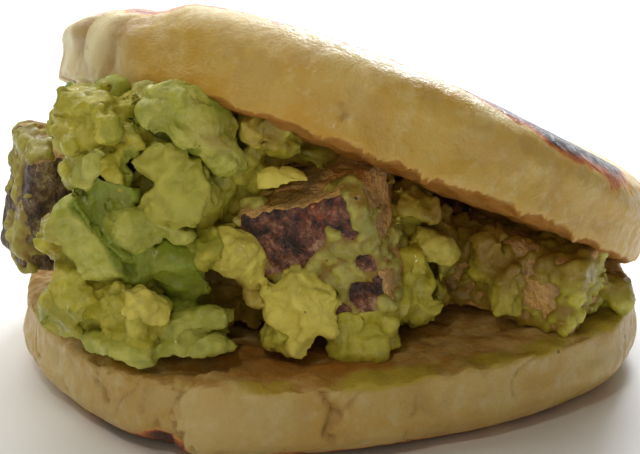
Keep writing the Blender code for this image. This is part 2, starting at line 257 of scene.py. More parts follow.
class Tree:
    """Adds and joins the nodes of one material or node group."""

    def __init__(self, tree: bpy.types.NodeTree) -> None:
        """Starts with a node tree that may already hold nodes."""
        self.tree = tree
        self.nodes = tree.nodes
        self.links = tree.links
        self._place: bpy.types.NodeSocket | None = None

    def feed(self, socket: bpy.types.NodeSocket, value: object) -> None:
        """Links a socket to another one, or sets its plain value."""
        if isinstance(value, bpy.types.NodeSocket):
            self.links.new(value, socket)
        elif socket.type == "RGBA" and len(value) == 3:
            socket.default_value = (*value, 1.0)
        else:
            socket.default_value = value

    def add(self, kind: str, settings: dict | None = None, **inputs: object) -> bpy.types.Node:
        """Adds a node.

        Args:
            kind: The node's type.
            settings: Its own settings.
            **inputs: Values or sockets for its inputs, with _ for a space in an input's name.

        Returns:
            The node.
        """
        node = self.nodes.new(kind)
        for name, value in (settings or {}).items():
            setattr(node, name, value)
        for name, value in inputs.items():
            self.feed(node.inputs[name.replace("_", " ")], value)
        return node

    @property
    def place(self) -> bpy.types.NodeSocket:
        """The point of the piece that is being shaded."""
        if self._place is None:
            self._place = self.add("ShaderNodeTexCoord").outputs["Object"]
        return self._place

    def mask(self, name: str) -> bpy.types.NodeSocket:
        """Reads a number that the piece keeps on its vertices."""
        return self.add("ShaderNodeAttribute", {"attribute_name": name}).outputs["Fac"]

    def noise(self, size: float, detail: float = 2.0, roughness: float = 0.5, seed: int = 0) -> bpy.types.NodeSocket:
        """Soft noise from 0 to 1 with patches of a size in metres."""
        moved = self.add("ShaderNodeVectorMath", {"operation": "ADD"})
        self.feed(moved.inputs[0], self.place)
        self.feed(moved.inputs[1], (seed * 0.137, seed * -0.071, seed * 0.053))
        found = self.add(
            "ShaderNodeTexNoise", Vector=moved.outputs[0], Scale=1 / size, Detail=detail, Roughness=roughness
        )
        return found.outputs["Fac"]

    def cells(self, size: float, feature: str = "F1") -> bpy.types.NodeSocket:
        """The distance to the middle or the edge of a cell, in cells."""
        return self.add(
            "ShaderNodeTexVoronoi", {"feature": feature}, Vector=self.place, Scale=1 / size
        ).outputs["Distance"]

    def remap(
        self, value: bpy.types.NodeSocket, low: float, high: float, to_low: float = 0.0, to_high: float = 1.0
    ) -> bpy.types.NodeSocket:
        """Stretches a range of values to another range, and clips at its ends."""
        node = self.add("ShaderNodeMapRange", {"interpolation_type": "SMOOTHSTEP"}, Value=value)
        for name, number in (("From Min", low), ("From Max", high), ("To Min", to_low), ("To Max", to_high)):
            node.inputs[name].default_value = number
        return node.outputs["Result"]

    def maths(self, operation: str, a: object, b: object = 0.0) -> bpy.types.NodeSocket:
        """One sum of two numbers, kept from 0 to 1 for a product."""
        node = self.add("ShaderNodeMath", {"operation": operation})
        self.feed(node.inputs[0], a)
        self.feed(node.inputs[1], b)
        return node.outputs[0]

    def mix(self, a: object, b: object, factor: object) -> bpy.types.NodeSocket:
        """Mixes two colours."""
        node = self.add("ShaderNodeMix", {"data_type": "RGBA"})
        self.feed(node.inputs[0], factor)
        self.feed(node.inputs[6], a)
        self.feed(node.inputs[7], b)
        return node.outputs[2]

    def ramp(self, value: bpy.types.NodeSocket, stops: Sequence[tuple[float, Colour]]) -> bpy.types.NodeSocket:
        """Turns a number into a colour through colour stops."""
        node = self.add("ShaderNodeValToRGB", Fac=value)
        elements = node.color_ramp.elements
        while len(elements) < len(stops):
            elements.new(1.0)
        for element, (position, colour) in zip(elements, stops):
            element.position = position
            element.color = (*colour, 1.0)
        return node.outputs["Color"]

    def group(self, shared: bpy.types.NodeTree, **inputs: object) -> bpy.types.NodeSocket:
        """Places a shared node group and returns its first output."""
        return self.add("ShaderNodeGroup", {"node_tree": shared}, **inputs).outputs[0]


def new_group(name: str, inputs: dict[str, str], output: tuple[str, str]) -> tuple[Tree, dict, bpy.types.NodeSocket]:
    """Starts a node group.

    Args:
        name: The group's name.
        inputs: The socket type of each named input.
        output: The name and socket type of its output.

    Returns:
        The tree to fill, its inputs by name, and the socket that its output is linked to.
    """
    made = bpy.data.node_groups.new(name, "ShaderNodeTree")
    for label, kind in inputs.items():
        made.interface.new_socket(label, in_out="INPUT", socket_type=kind)
    made.interface.new_socket(output[0], in_out="OUTPUT", socket_type=output[1])
    tree = Tree(made)
    entry = tree.add("NodeGroupInput")
    leave = tree.add("NodeGroupOutput")
    return tree, {label: entry.outputs[label] for label in inputs}, leave.inputs[0]


@dataclass(frozen=True)
class SharedLooks:
    """Node groups that more than one food shares."""

    grain: bpy.types.NodeTree
    specks: bpy.types.NodeTree
    blotches: bpy.types.NodeTree
    flakes: bpy.types.NodeTree

    @classmethod
    def build(cls) -> "SharedLooks":
        """Builds the groups once."""
        return cls(cls._grain(), cls._specks(), cls._blotches(), cls._flakes())

    @staticmethod
    def _grain() -> bpy.types.NodeTree:
        """Fine relief of two sizes: Height rises with Coarse and Fine, whose sizes are given per metre."""
        tree, given, result = new_group(
            "food grain",
            {"Coarse Scale": "NodeSocketFloat", "Fine Scale": "NodeSocketFloat", "Fine Share": "NodeSocketFloat"},
            ("Height", "NodeSocketFloat"),
        )
        coarse = tree.add("ShaderNodeTexNoise", Vector=tree.place, Scale=given["Coarse Scale"], Detail=3.0)
        fine = tree.add("ShaderNodeTexNoise", Vector=tree.place, Scale=given["Fine Scale"], Detail=2.0)
        tree.links.new(
            tree.maths("ADD", coarse.outputs["Fac"], tree.maths("MULTIPLY", fine.outputs["Fac"], given["Fine Share"])),
            result,
        )
        return tree.tree

    @staticmethod
    def _specks() -> bpy.types.NodeTree:
        """Small dark specks: one in each cell of a size given per metre, where Share lets it show."""
        tree, given, result = new_group(
            "food specks",
            {"Scale": "NodeSocketFloat", "Radius": "NodeSocketFloat", "Share": "NodeSocketFloat"},
            ("Mask", "NodeSocketFloat"),
        )
        cell = tree.add("ShaderNodeTexVoronoi", Vector=tree.place, Scale=given["Scale"])
        near = tree.maths("LESS_THAN", cell.outputs["Distance"], given["Radius"])
        drawn = tree.add("ShaderNodeSeparateColor", Color=cell.outputs["Color"]).outputs[0]
        tree.links.new(tree.maths("MULTIPLY", near, tree.maths("LESS_THAN", drawn, given["Share"])), result)
        return tree.tree

    @staticmethod
    def _blotches() -> bpy.types.NodeTree:
        """Uneven colour: Pale to Deep in soft patches of a size given per metre."""
        tree, given, result = new_group(
            "food blotches",
            {"Pale": "NodeSocketColor", "Deep": "NodeSocketColor", "Scale": "NodeSocketFloat"},
            ("Colour", "NodeSocketColor"),
        )
        soft = tree.add("ShaderNodeTexNoise", Vector=tree.place, Scale=given["Scale"], Detail=4.0, Roughness=0.6)
        tree.links.new(
            tree.mix(given["Pale"], given["Deep"], tree.remap(soft.outputs["Fac"], 0.34, 0.66)), result
        )
        return tree.tree

    @staticmethod
    def _flakes() -> bpy.types.NodeTree:
        """Torn relief: Height climbs from 0 to 1 in crisp steps round patches of a size given per metre."""
        tree, given, result = new_group("food flakes", {"Scale": "NodeSocketFloat"}, ("Height", "NodeSocketFloat"))
        soft = tree.add("ShaderNodeTexNoise", Vector=tree.place, Scale=given["Scale"], Detail=2.0, Roughness=0.5)
        height: object = 0.0
        for step in (0.36, 0.44, 0.52, 0.60):
            height = tree.maths("ADD", height, tree.remap(soft.outputs["Fac"], step, step + 0.03, 0.0, 0.25))
        tree.links.new(height, result)
        return tree.tree


def new_material(name: str) -> tuple[bpy.types.Material, Tree, bpy.types.Node]:
    """Returns an empty material, its tree and its Principled shader."""
    made = bpy.data.materials.new(name)
    made.use_nodes = True
    return made, Tree(made.node_tree), made.node_tree.nodes["Principled BSDF"]


# --- finishes ------------------------------------------------------------------------------------


@dataclass(frozen=True)
class DoughFinish:
    """Griddled corn dough: pale skin, crumbly and oily where it is cut, browned on its flat face."""

    name: str
    pale: Colour
    deep: Colour
    dusty: Colour
    # floury is whiter torn dough and also a painted highlight, on the upper half's shoulder and lit left end
    flour_and_highlight: Colour
    worn: Colour = (0.50, 0.33, 0.11)
    # buttery is oil and painted warm shade: deeper orange along the lower band and at the right end of the upper half
    buttery_and_warm_shade: Colour = (0.60, 0.33, 0.02)
    # crack is painted shade: it darkens the cracks, the hairlines and the shadow beside each lifted flake
    crack: Colour = (0.36, 0.20, 0.04)
    crumb: Colour = (0.62, 0.44, 0.16)
    soaked: Colour = (0.40, 0.22, 0.035)
    # oily also carries painted shade where the lower half's cut face lies in the open middle
    oily: Colour = (0.34, 0.125, 0.002)
    stain: Colour = (0.46, 0.37, 0.02)

    def material(self, looks: SharedLooks) -> bpy.types.Material:
        """Builds the material.

        Args:
            looks: The shared node groups.

        Returns:
            A material that reads the masks browned, cut, oiled, buttery, stained, floury, flaked and crease.
        """
        made, tree, shader = new_material(self.name)
        skin = tree.group(looks.blotches, Pale=self.pale, Deep=self.deep, Scale=1 / (7 * MM))
        skin = tree.mix(skin, self.dusty, tree.remap(tree.noise(3.0 * MM, 5, 0.65, 3), 0.5, 0.7, 0, 0.6))
        # Painted highlight as well as torn dough: whiter on the upper half's shoulder and left end
        skin = tree.mix(skin, self.flour_and_highlight, tree.maths("MULTIPLY", tree.mask("flour_and_highlight"), 0.85))
        skin = tree.mix(skin, self.worn, tree.maths("MULTIPLY", tree.mask("flaked"), 0.35))
        # Painted warm shade as well as oil
        buttery_and_warm_shade = tree.maths("MULTIPLY", tree.mask("buttery_and_warm_shade"), tree.remap(tree.noise(4 * MM, 4, 0.6, 14), 0.3, 0.6, 0.35, 1.0))
        skin = tree.mix(skin, self.buttery_and_warm_shade, tree.maths("MULTIPLY", buttery_and_warm_shade, 0.75))
        # Painted shade: darker in the cracks and hairlines, and in the shadow left of each lifted flake
        skin = tree.mix(skin, self.crack, tree.maths("MULTIPLY", tree.mask("crease_shade"), 0.75))
        speck = tree.group(looks.specks, Scale=1 / (5.5 * MM), Radius=0.055, Share=0.35)
        skin = tree.mix(skin, (0.10, 0.07, 0.03), tree.maths("MULTIPLY", speck, 0.85))
        inside = tree.group(looks.blotches, Pale=self.crumb, Deep=self.soaked, Scale=1 / (4 * MM))
        # Oil, and painted shade in the open middle of the lower half's cut face
        oil_and_shade = tree.remap(
            tree.maths("ADD", tree.mask("oil_and_shade"), tree.maths("MULTIPLY", tree.noise(3.5 * MM, 4, 0.6, 5), 0.5)),
            0.45, 0.95,
        )
        colour = tree.mix(skin, inside, tree.remap(tree.mask("cut"), 0.35, 0.75))
        colour = tree.mix(colour, self.oily, tree.maths("MULTIPLY", oil_and_shade, 0.85))
        stained = tree.remap(
            tree.maths("ADD", tree.mask("stained"), tree.maths("MULTIPLY", tree.noise(4 * MM, 4, 0.6, 8), 0.6)),
            0.55, 1.1,
        )
        colour = tree.mix(colour, self.stain, tree.maths("MULTIPLY", stained, 0.75))
        browned = tree.maths(
            "ADD", tree.mask("browned"), tree.maths("MULTIPLY", tree.maths("SUBTRACT", tree.noise(1.8 * MM, 5, 0.65, 11), 0.5), 0.5)
        )
        toasted = tree.ramp(
            browned,
            (
                (0.16, (0.74, 0.47, 0.16)),
                (0.28, (0.64, 0.25, 0.05)),
                (0.46, (0.42, 0.11, 0.025)),
                (0.64, (0.15, 0.05, 0.025)),
                (0.92, (0.045, 0.025, 0.022)),
            ),
        )
        colour = tree.mix(colour, toasted, tree.remap(browned, 0.12, 0.3))
        tree.feed(shader.inputs["Base Color"], colour)
        rough = tree.remap(tree.noise(1.1 * MM, 3, 0.6, 2), 0.35, 0.65, 0.30, 0.58)
        dull = tree.maths("MULTIPLY", tree.maths("MAXIMUM", tree.mask("cut"), tree.mask("oil_and_shade")), 0.3)
        tree.feed(shader.inputs["Roughness"], tree.maths("ADD", rough, dull))
        grain = tree.group(looks.grain, **{"Coarse Scale": 1 / (1.6 * MM), "Fine Scale": 1 / (0.45 * MM), "Fine Share": 0.45})
        flakes = tree.group(looks.flakes, Scale=1 / (3.4 * MM))
        rough_skin = tree.maths("ADD", tree.mask("cut"), tree.remap(browned, 0.2, 0.6, 0.25, 1.0))
        relief = tree.maths("ADD", grain, tree.maths("MULTIPLY", flakes, rough_skin))
        bump = tree.add("ShaderNodeBump", Height=relief, Strength=0.7, Distance=0.3 * MM)
        tree.feed(shader.inputs["Normal"], bump.outputs[0])
        shader.inputs["Subsurface Weight"].default_value = 0.25
        shader.inputs["Subsurface Radius"].default_value = (1.0, 0.6, 0.25)
        shader.inputs["Subsurface Scale"].default_value = 1.6 * MM
        return made


@dataclass(frozen=True)
class AvocadoFinish:
    """Moist avocado flesh, from the yellow middle of the fruit to its green outside."""

    name: str
    pale: Colour
    deep: Colour
    green: Colour
    dry: float = 0.6
    wet: float = 0.2
    # juice is the brown of meat juice, also used as painted shade deep inside, under the bread and in the hollow
    juice: Colour = (0.27, 0.145, 0.02)

    def material(self, looks: SharedLooks) -> bpy.types.Material:
        """Builds the material.

        Args:
            looks: The shared node groups.

        Returns:
            A material that reads the masks ripe, crease and juiced.
        """
        made, tree, shader = new_material(self.name)
        colour = tree.group(looks.blotches, Pale=self.pale, Deep=self.deep, Scale=1 / (3.2 * MM))
        ripe = tree.maths("ADD", tree.mask("ripe"), tree.maths("MULTIPLY", tree.maths("SUBTRACT", tree.noise(5 * MM, 3, 0.5, 4), 0.5), 0.9))
        colour = tree.mix(colour, self.green, tree.remap(ripe, 0.35, 0.85))
        # Painted shade: darker in the folds and between the lobes
        colour = tree.mix(colour, tuple(part * 0.55 for part in self.deep), tree.maths("MULTIPLY", tree.mask("crease_shade"), 0.6))
        # Juice, and painted shade deep inside, under the bread and in the hollow
        juice_and_shade = tree.maths("ADD", tree.mask("juice_and_shade"), tree.maths("MULTIPLY", tree.maths("SUBTRACT", tree.noise(3 * MM, 4, 0.6, 21), 0.5), 0.8))
        colour = tree.mix(colour, self.juice, tree.remap(juice_and_shade, 0.3, 0.95, 0.0, 0.8))
        speck = tree.group(looks.specks, Scale=1 / (3.4 * MM), Radius=0.07, Share=0.16)
        colour = tree.mix(colour, (0.12, 0.08, 0.02), tree.maths("MULTIPLY", speck, 0.8))
        tree.feed(shader.inputs["Base Color"], colour)
        tree.feed(shader.inputs["Roughness"], tree.remap(tree.noise(2.6 * MM, 3, 0.5, 6), 0.44, 0.6, self.dry, self.wet))
        grain = tree.group(looks.grain, **{"Coarse Scale": 1 / (1.1 * MM), "Fine Scale": 1 / (0.38 * MM), "Fine Share": 0.3})
        flakes = tree.maths("MULTIPLY", tree.group(looks.flakes, Scale=1 / (3.6 * MM)), 0.8)
        bump = tree.add("ShaderNodeBump", Height=tree.maths("ADD", grain, flakes), Strength=0.6, Distance=0.3 * MM)
        tree.feed(shader.inputs["Normal"], bump.outputs[0])
        shader.inputs["Specular IOR Level"].default_value = 0.42
        shader.inputs["Subsurface Weight"].default_value = 0.14
        shader.inputs["Subsurface Radius"].default_value = (1.0, 0.85, 0.3)
        shader.inputs["Subsurface Scale"].default_value = 0.9 * MM
        return made


@dataclass(frozen=True)
class MeatFinish:
    """Diced meat: a dark crust where it was seared, and pinkish tan fibres where it was cut."""

    name: str = "browned meat"
    burnt: Colour = (0.012, 0.008, 0.009)
    crust: Colour = (0.085, 0.036, 0.026)
    browned: Colour = (0.22, 0.085, 0.05)
    bare_fibre: Colour = (0.52, 0.34, 0.22)
    red: Colour = (0.36, 0.075, 0.04)
    inside: Colour = (0.78, 0.46, 0.15)
    grey: Colour = (0.42, 0.28, 0.12)

    def material(self, looks: SharedLooks) -> bpy.types.Material:
        """Builds the material.

        Args:
            looks: The shared node groups.

        Returns:
            A material that reads the masks seared and rosy.
        """
        made, tree, shader = new_material(self.name)
        crust = tree.ramp(
            tree.noise(2.7 * MM, 6, 0.72, 7),
            ((0.41, self.burnt), (0.48, self.crust), (0.55, self.browned), (0.66, self.bare_fibre)),
        )
        rosy = tree.maths("MULTIPLY", tree.mask("rosy"), tree.remap(tree.noise(1.6 * MM, 5, 0.7, 17), 0.38, 0.6, 0, 0.85))
        crust = tree.mix(crust, self.red, rosy)
        inside = tree.group(looks.blotches, Pale=self.inside, Deep=self.grey, Scale=1 / (5 * MM))
        fibre = tree.remap(tree.noise(0.8 * MM, 4, 0.7, 12), 0.45, 0.75, 0, 0.4)
        inside = tree.mix(inside, self.crust, fibre)
        seared = tree.maths("ADD", tree.mask("seared"), tree.maths("MULTIPLY", tree.maths("SUBTRACT", tree.noise(2.4 * MM, 4, 0.6, 9), 0.5), 1.1))
        colour = tree.mix(inside, crust, tree.remap(seared, 0.35, 0.6))
        tree.feed(shader.inputs["Base Color"], colour)
        tree.feed(shader.inputs["Roughness"], tree.remap(tree.noise(1.0 * MM, 3, 0.6, 15), 0.3, 0.7, 0.38, 0.65))
        grain = tree.group(looks.grain, **{"Coarse Scale": 1 / (0.9 * MM), "Fine Scale": 1 / (0.35 * MM), "Fine Share": 0.5})
        flakes = tree.group(looks.flakes, Scale=1 / (1.8 * MM))
        bump = tree.add("ShaderNodeBump", Height=tree.maths("ADD", grain, flakes), Strength=0.9, Distance=0.4 * MM)
        tree.feed(shader.inputs["Normal"], bump.outputs[0])
        return made


# --- the corn cake -------------------------------------------------------------------------------


@dataclass(frozen=True)
class Crack:
    """A crack in the dough: a line through places in millimetres, with a depth and width in them."""

    line: tuple[Triple, ...]
    depth: float = 0.9
    width: float = 0.45


@dataclass(frozen=True)
class Dent:
    """A hollow, or a swelling where its depth is below 0, in millimetres."""

    centre: Triple
    reach: Triple
    depth: float


@dataclass(frozen=True)
class Flake:
    """A flake of skin, in millimetres: it stands proud on its left side and is level on its right, with a painted
    shadow just outside its left edge.

    Where its height is below 0 the skin has come off instead, and raw dough shows.
    """

    centre: Triple
    reach: Triple
    height: float


@dataclass
class DoughHalf:
    """One half of the corn cake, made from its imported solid.

    Attributes:
        node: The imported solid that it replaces.
        name: The name of the piece.
        up: The direction out of its cut face.
        cracks: Its cracks.
        dents: Its hollows and swellings.
        lobes: (centre, reach, lobe size, depth) in millimetres where it broke in rounded lobes.
        flakes: Flakes of skin that lift or are gone.
        scorched: (centre, reach) in millimetres of burnt places beside the griddled face.
        flaky: How thick the small flakes of its skin are, in millimetres.
        hairlines: How strong its hairline cracks are, from 0 to 1.
        ragged: (centre, reach, depth) in millimetres where the cut edge is torn.
        grid: The distance between the points of its skin.
    """

    node: str
    name: str
    up: Triple
    cracks: tuple[Crack, ...] = ()
    dents: tuple[Dent, ...] = ()
    lobes: tuple[tuple[Triple, Triple, float, float], ...] = ()
    flakes: tuple[Flake, ...] = ()
    scorched: tuple[tuple[Triple, Triple], ...] = ()
    flaky: float = 0.2
    hairlines: float = 1.0
    ragged: tuple[tuple[Triple, Triple, float], ...] = ()
    grid: float = 0.5 * MM
    seed: int = 1

    def build(self, dough: bpy.types.Material) -> bpy.types.Object:
        """Models the half and dresses it.

        Args:
            dough: Its material.

        Returns:
            The finished piece.
        """
        obj = copy_of_solid(self.node, self.name)
        finish_with(obj, "SUBSURF", levels=2, render_levels=2)
        finish_with(obj, "REMESH", mode="VOXEL", voxel_size=self.grid)
        finish_with(obj, "SMOOTH", factor=0.5, iterations=8)
        self._knead(obj)
        self._tear(obj)
        self._mark(obj)
        obj.data.materials.append(dough)
        obj.data.shade_smooth()
        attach(obj, BODY)
        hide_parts(self.node)
        return obj

    def _faces(self, normals: np.ndarray) -> tuple[np.ndarray, np.ndarray]:
        """Returns how much each point is on the cut face, and on the griddled face."""
        facing = normals @ np.array(self.up)
        return smoothstep(0.55, 0.85, facing), smoothstep(0.6, 0.93, -facing)

    def _knead(self, obj: bpy.types.Object) -> None:
        """Adds the soft unevenness of dough, its lobes and its dents."""
        points, normals = points_of(obj), normals_of(obj)
        cut, griddled = self._faces(normals)
        rise = 0.28 * MM * uneven(points, 9 * MM, self.seed) * (1 - griddled)
        rise += 0.10 * MM * uneven(points, 2.6 * MM, self.seed + 1) * (1 - 0.5 * griddled)
        rise += 0.45 * MM * cut * terraces(uneven(points, 3.4 * MM, self.seed + 2), 2.5)
        for centre, reach, size, depth in self.lobes:
            near = bell(within(points, centre, reach), 1.0)
            lobe = creases(points, size * MM, self.seed + 3)
            rise += near * depth * MM * (smoothstep(0.0, 0.45, lobe) - 0.75) * (1 - cut)
        flakes = uneven(points, 6 * MM, self.seed + 14) + 0.45 * uneven(points, 1.9 * MM, self.seed + 15)
        flaked = smoothstep(-0.05, 0.05, flakes - 0.25) * (1 - cut) * (1 - griddled)
        rise -= self.flaky * MM * flaked
        lifted, shade = np.zeros(len(points)), np.zeros(len(points))
        for flake in self.flakes:
            edge = within(points, flake.centre, flake.reach) + 0.17 * uneven(points, 3.2 * MM, self.seed + 18)
            edge += 0.08 * uneven(points, 1.2 * MM, self.seed + 19)
            over = smoothstep(1.0, 0.94, edge)
            if flake.height < 0:
                flaked = np.maximum(flaked, over)
                rise += flake.height * MM * over
            else:
                flaked *= 1 - over
                rightward = (points[:, 0] / MM - flake.centre[0]) / flake.reach[0]
                left_side = smoothstep(0.9, -0.6, rightward)
                rise += flake.height * MM * over * left_side * smoothstep(0.5 * MM, 3.0 * MM, points[:, 2])
                lifted = np.maximum(lifted, over * (0.35 + 0.65 * left_side))
                # Painted shadow just outside the flake's left edge, where it stands proud
                shade = np.maximum(shade, bell(edge - 1.03, 0.04) * smoothstep(0.1, -0.4, rightward))
        keep_on(obj, "flaked", flaked)
        keep_on(obj, "lifted", lifted)
        keep_on(obj, "shade", shade * (1 - cut))
        for dent in self.dents:
            rise -= dent.depth * MM * bell(within(points, dent.centre, dent.reach), 1.0)
        move_points(obj, points + normals * rise[:, None])

    def _tear(self, obj: bpy.types.Object) -> None:
        """Opens the cracks, tears the edge of the cut face, and stores the painted shade of the cracks, the hairlines
        and the shadows beside lifted flakes.
        """
        points, normals = points_of(obj), normals_of(obj)
        cut, _ = self._faces(normals)
        ways = np.zeros(len(points))
        wander = np.stack([uneven(points, 1.6 * MM, seed) for seed in (21, 22, 23)], 1) * 0.45 * MM
        hairline = self.hairlines * bell(uneven(points, 8 * MM, self.seed + 16), 0.035)
        hairline *= smoothstep(0.1, 0.5, uneven(points, 10 * MM, self.seed + 17)) * (1 - cut)
        ways -= 0.35 * MM * hairline
        crease_shade = 0.6 * hairline
        for crack in self.cracks:
            away = distance_to_line(points + wander, crack.line)
            ways -= crack.depth * MM * bell(away, crack.width * MM)
            crease_shade = np.maximum(crease_shade, bell(away, crack.width * 1.5 * MM))
        edge = bell(normals @ np.array(self.up) - 0.6, 0.3)
        teeth = uneven(points, 2.6 * MM, self.seed + 7) + 0.8 * np.maximum(0, uneven(points, 1.2 * MM, self.seed + 8))
        torn = np.zeros((len(points), 3))
        for centre, reach, depth in self.ragged:
            near = bell(within(points, centre, reach), 1.0)
            torn += (near * edge * np.clip(teeth, -0.5, 1.4) * depth * MM)[:, None] * np.array(self.up)
        move_points(obj, points + normals * ways[:, None] + torn)
        keep_on(obj, "crease_shade", np.maximum(crease_shade, kept(obj, "shade")))

    def _mark(self, obj: bpy.types.Object) -> None:
        """Stores where the half is cut, browned, oiled and stained, and where shade and highlights are painted on its
        skin and cut face.
        """
        points, normals = points_of(obj), normals_of(obj)
        facing = normals @ np.array(self.up)
        # Whiter torn dough, paler lifted flakes, and the painted highlight of the shoulder and left end
        flour_and_highlight = np.maximum(self.flour_and_highlight_on(points), 0.3 * kept(obj, "lifted"))
        cut = self._faces(normals)[0] * (1 - 0.9 * np.clip(flour_and_highlight, 0, 1))
        keep_on(obj, "cut", cut)
        browned = self.browning(points, -facing)
        for centre, reach in self.scorched:
            browned = np.maximum(browned, 0.75 * smoothstep(1.15, 0.6, within(points, centre, reach)))
        keep_on(obj, "browned", browned)
        keep_on(obj, "oil_and_shade", self.oil(points, smoothstep(0.3, 0.68, facing)))
        keep_on(obj, "buttery_and_warm_shade", self.butter_and_warm_shade(points))
        keep_on(obj, "stained", self.stain(points, cut))
        keep_on(obj, "flour_and_highlight", flour_and_highlight)

    def browning(self, points: np.ndarray, down: np.ndarray) -> np.ndarray:
        """Returns how browned each point is: patches where it faces the griddle, by how far it faces it."""
        griddled = smoothstep(0.6, 0.93, down)
        patches = 0.55 * uneven(points, 13 * MM, self.seed + 4) + 0.25 * uneven(points, 5 * MM, self.seed + 5)
        return griddled * np.clip(0.42 + patches, 0, 1)

    def oil(self, points: np.ndarray, inner: np.ndarray) -> np.ndarray:
        """Returns where oil and juice of the meat soaked into the dough, on and beside the cut face."""
        return 0.35 * inner

    def butter_and_warm_shade(self, points: np.ndarray) -> np.ndarray:
        """Returns where the skin is a deeper yellow with oil that crept through it, and where warm shade is painted on
        it.
        """
        return np.zeros(len(points))

    def stain(self, points: np.ndarray, cut: np.ndarray) -> np.ndarray:
        """Returns where avocado has been rubbed on the dough."""
        return np.zeros(len(points))

    def flour_and_highlight_on(self, points: np.ndarray) -> np.ndarray:
        """Returns where the dough is whiter because it is torn or dusty, and where a highlight is painted on it."""
        return np.zeros(len(points))


@dataclass
class LowerHalf(DoughHalf):
    """The half that the cake rests on."""

    def oil(self, points: np.ndarray, inner: np.ndarray) -> np.ndarray:
        """Returns where juice ran down on to the cut face, with painted shade added in the open middle between the
        avocado and the meat.
        """
        return inner * smoothstep(11.0 * MM, 11.8 * MM, points[:, 2]) * (
            # Painted shade: darker in the open middle, between the avocado and the meat
            0.3 + 0.45 * bell(within(points, (-3.0, -36.0, 12.0), (13.0, 9.0, 20.0)), 1.0)
        )

    def stain(self, points: np.ndarray, cut: np.ndarray) -> np.ndarray:
        """Returns the green stain along the front edge of the cut face."""
        radius = np.hypot(points[:, 0], points[:, 1])
        sector = ((np.degrees(np.arctan2(points[:, 1], points[:, 0])) + 180) / 5).astype(int)
        rim = np.zeros(sector.max() + 1)
        np.maximum.at(rim, sector, radius)
        edge = smoothstep(7 * MM, 3 * MM, rim[sector] - radius) * smoothstep(10.0 * MM, 12.0 * MM, points[:, 2])
        front = smoothstep(10 * MM, -20 * MM, points[:, 1])
        right = smoothstep(-20 * MM, 10 * MM, points[:, 0])
        return edge * front * (0.35 + 0.45 * right + 0.5 * uneven(points, 9 * MM, 31))


@dataclass
class UpperHalf(DoughHalf):
    """The half that leans on the filling, with a charred top that spreads over its right shoulder."""

    def browning(self, points: np.ndarray, down: np.ndarray) -> np.ndarray:
        """Returns how charred each point is, with a sharp border on the shoulder."""
        angle = np.degrees(np.arctan2(points[:, 1], points[:, 0]))
        radius = np.hypot(points[:, 0], points[:, 1]) / MM
        reach = 36.0 + 12.2 * bell(angle + 28, 30) - 7.0 * bell(angle + 118, 34) - 2.0 * bell(angle + 62, 12)
        reach += 0.7 * uneven(points, 5 * MM, 41) + 0.6 * uneven(points, 1.8 * MM, 42)
        inside = smoothstep(-1.6, 3.6, reach - radius)
        steepest = 0.42 - 0.4 * bell(angle + 30, 30)
        top = smoothstep(0.0, 0.2, down - steepest)
        front = bell(angle + 32, 46) * smoothstep(14, 30, radius)
        patches = 0.30 + 0.75 * front + 0.42 * uneven(points, 11 * MM, 43) + 0.2 * uneven(points, 3.5 * MM, 44)
        return inside * top * np.clip(patches, 0.16, 1)

    def oil(self, points: np.ndarray, inner: np.ndarray) -> np.ndarray:
        """Returns the dark orange oil over the cut face and round its edge."""
        above = -(23.8 + points @ np.array(self.up) / MM)
        return inner * smoothstep(-30 * MM, -22 * MM, points[:, 0]) * smoothstep(4.5, 2.5, above)

    def butter_and_warm_shade(self, points: np.ndarray) -> np.ndarray:
        """Returns the oil that crept up from the cut edge, most of all left of the middle, with painted warm shade
        along that lower band and at the right end.
        """
        x = points[:, 0] / MM
        above = -(23.8 + points @ np.array(self.up) / MM)
        crept = smoothstep(8.5, 1.0, above + 2.0 * uneven(points, 7 * MM, 47)) * smoothstep(-29, -20, x)
        front = smoothstep(10 * MM, -15 * MM, points[:, 1])
        # The right end is painted warmer and darker for the shade and warm bounce light there
        return front * np.clip(crept * (0.45 + 0.55 * smoothstep(16, -2, x)) + 0.45 * smoothstep(32, 43, x), 0, 1)

    def flour_and_highlight_on(self, points: np.ndarray) -> np.ndarray:
        """Returns the white of the torn left end, with a painted highlight there too, and the painted highlight on the
        shoulder above the open front.
        """
        torn = smoothstep(-24 * MM, -34 * MM, points[:, 0]) * (0.8 + 0.4 * uneven(points, 5 * MM, 46))
        above = -(23.8 + points @ np.array(self.up) / MM)
        # Painted highlight along the shoulder, where light from above and behind falls
        shoulder = smoothstep(0.52, 0.88, above / above.max()) * smoothstep(-5 * MM, -25 * MM, points[:, 1])
        return np.maximum(torn, shoulder * (0.6 + 0.5 * uneven(points, 6 * MM, 48)))


# --- the filling ---------------------------------------------------------------------------------


@dataclass(frozen=True)
class Form:
    """One larger piece of avocado: its centre and size in millimetres and its turn in degrees."""

    shape: Shape
    centre: Triple
    size: Triple
    turn: Triple
    seed: int
    ripe: float = 0.3


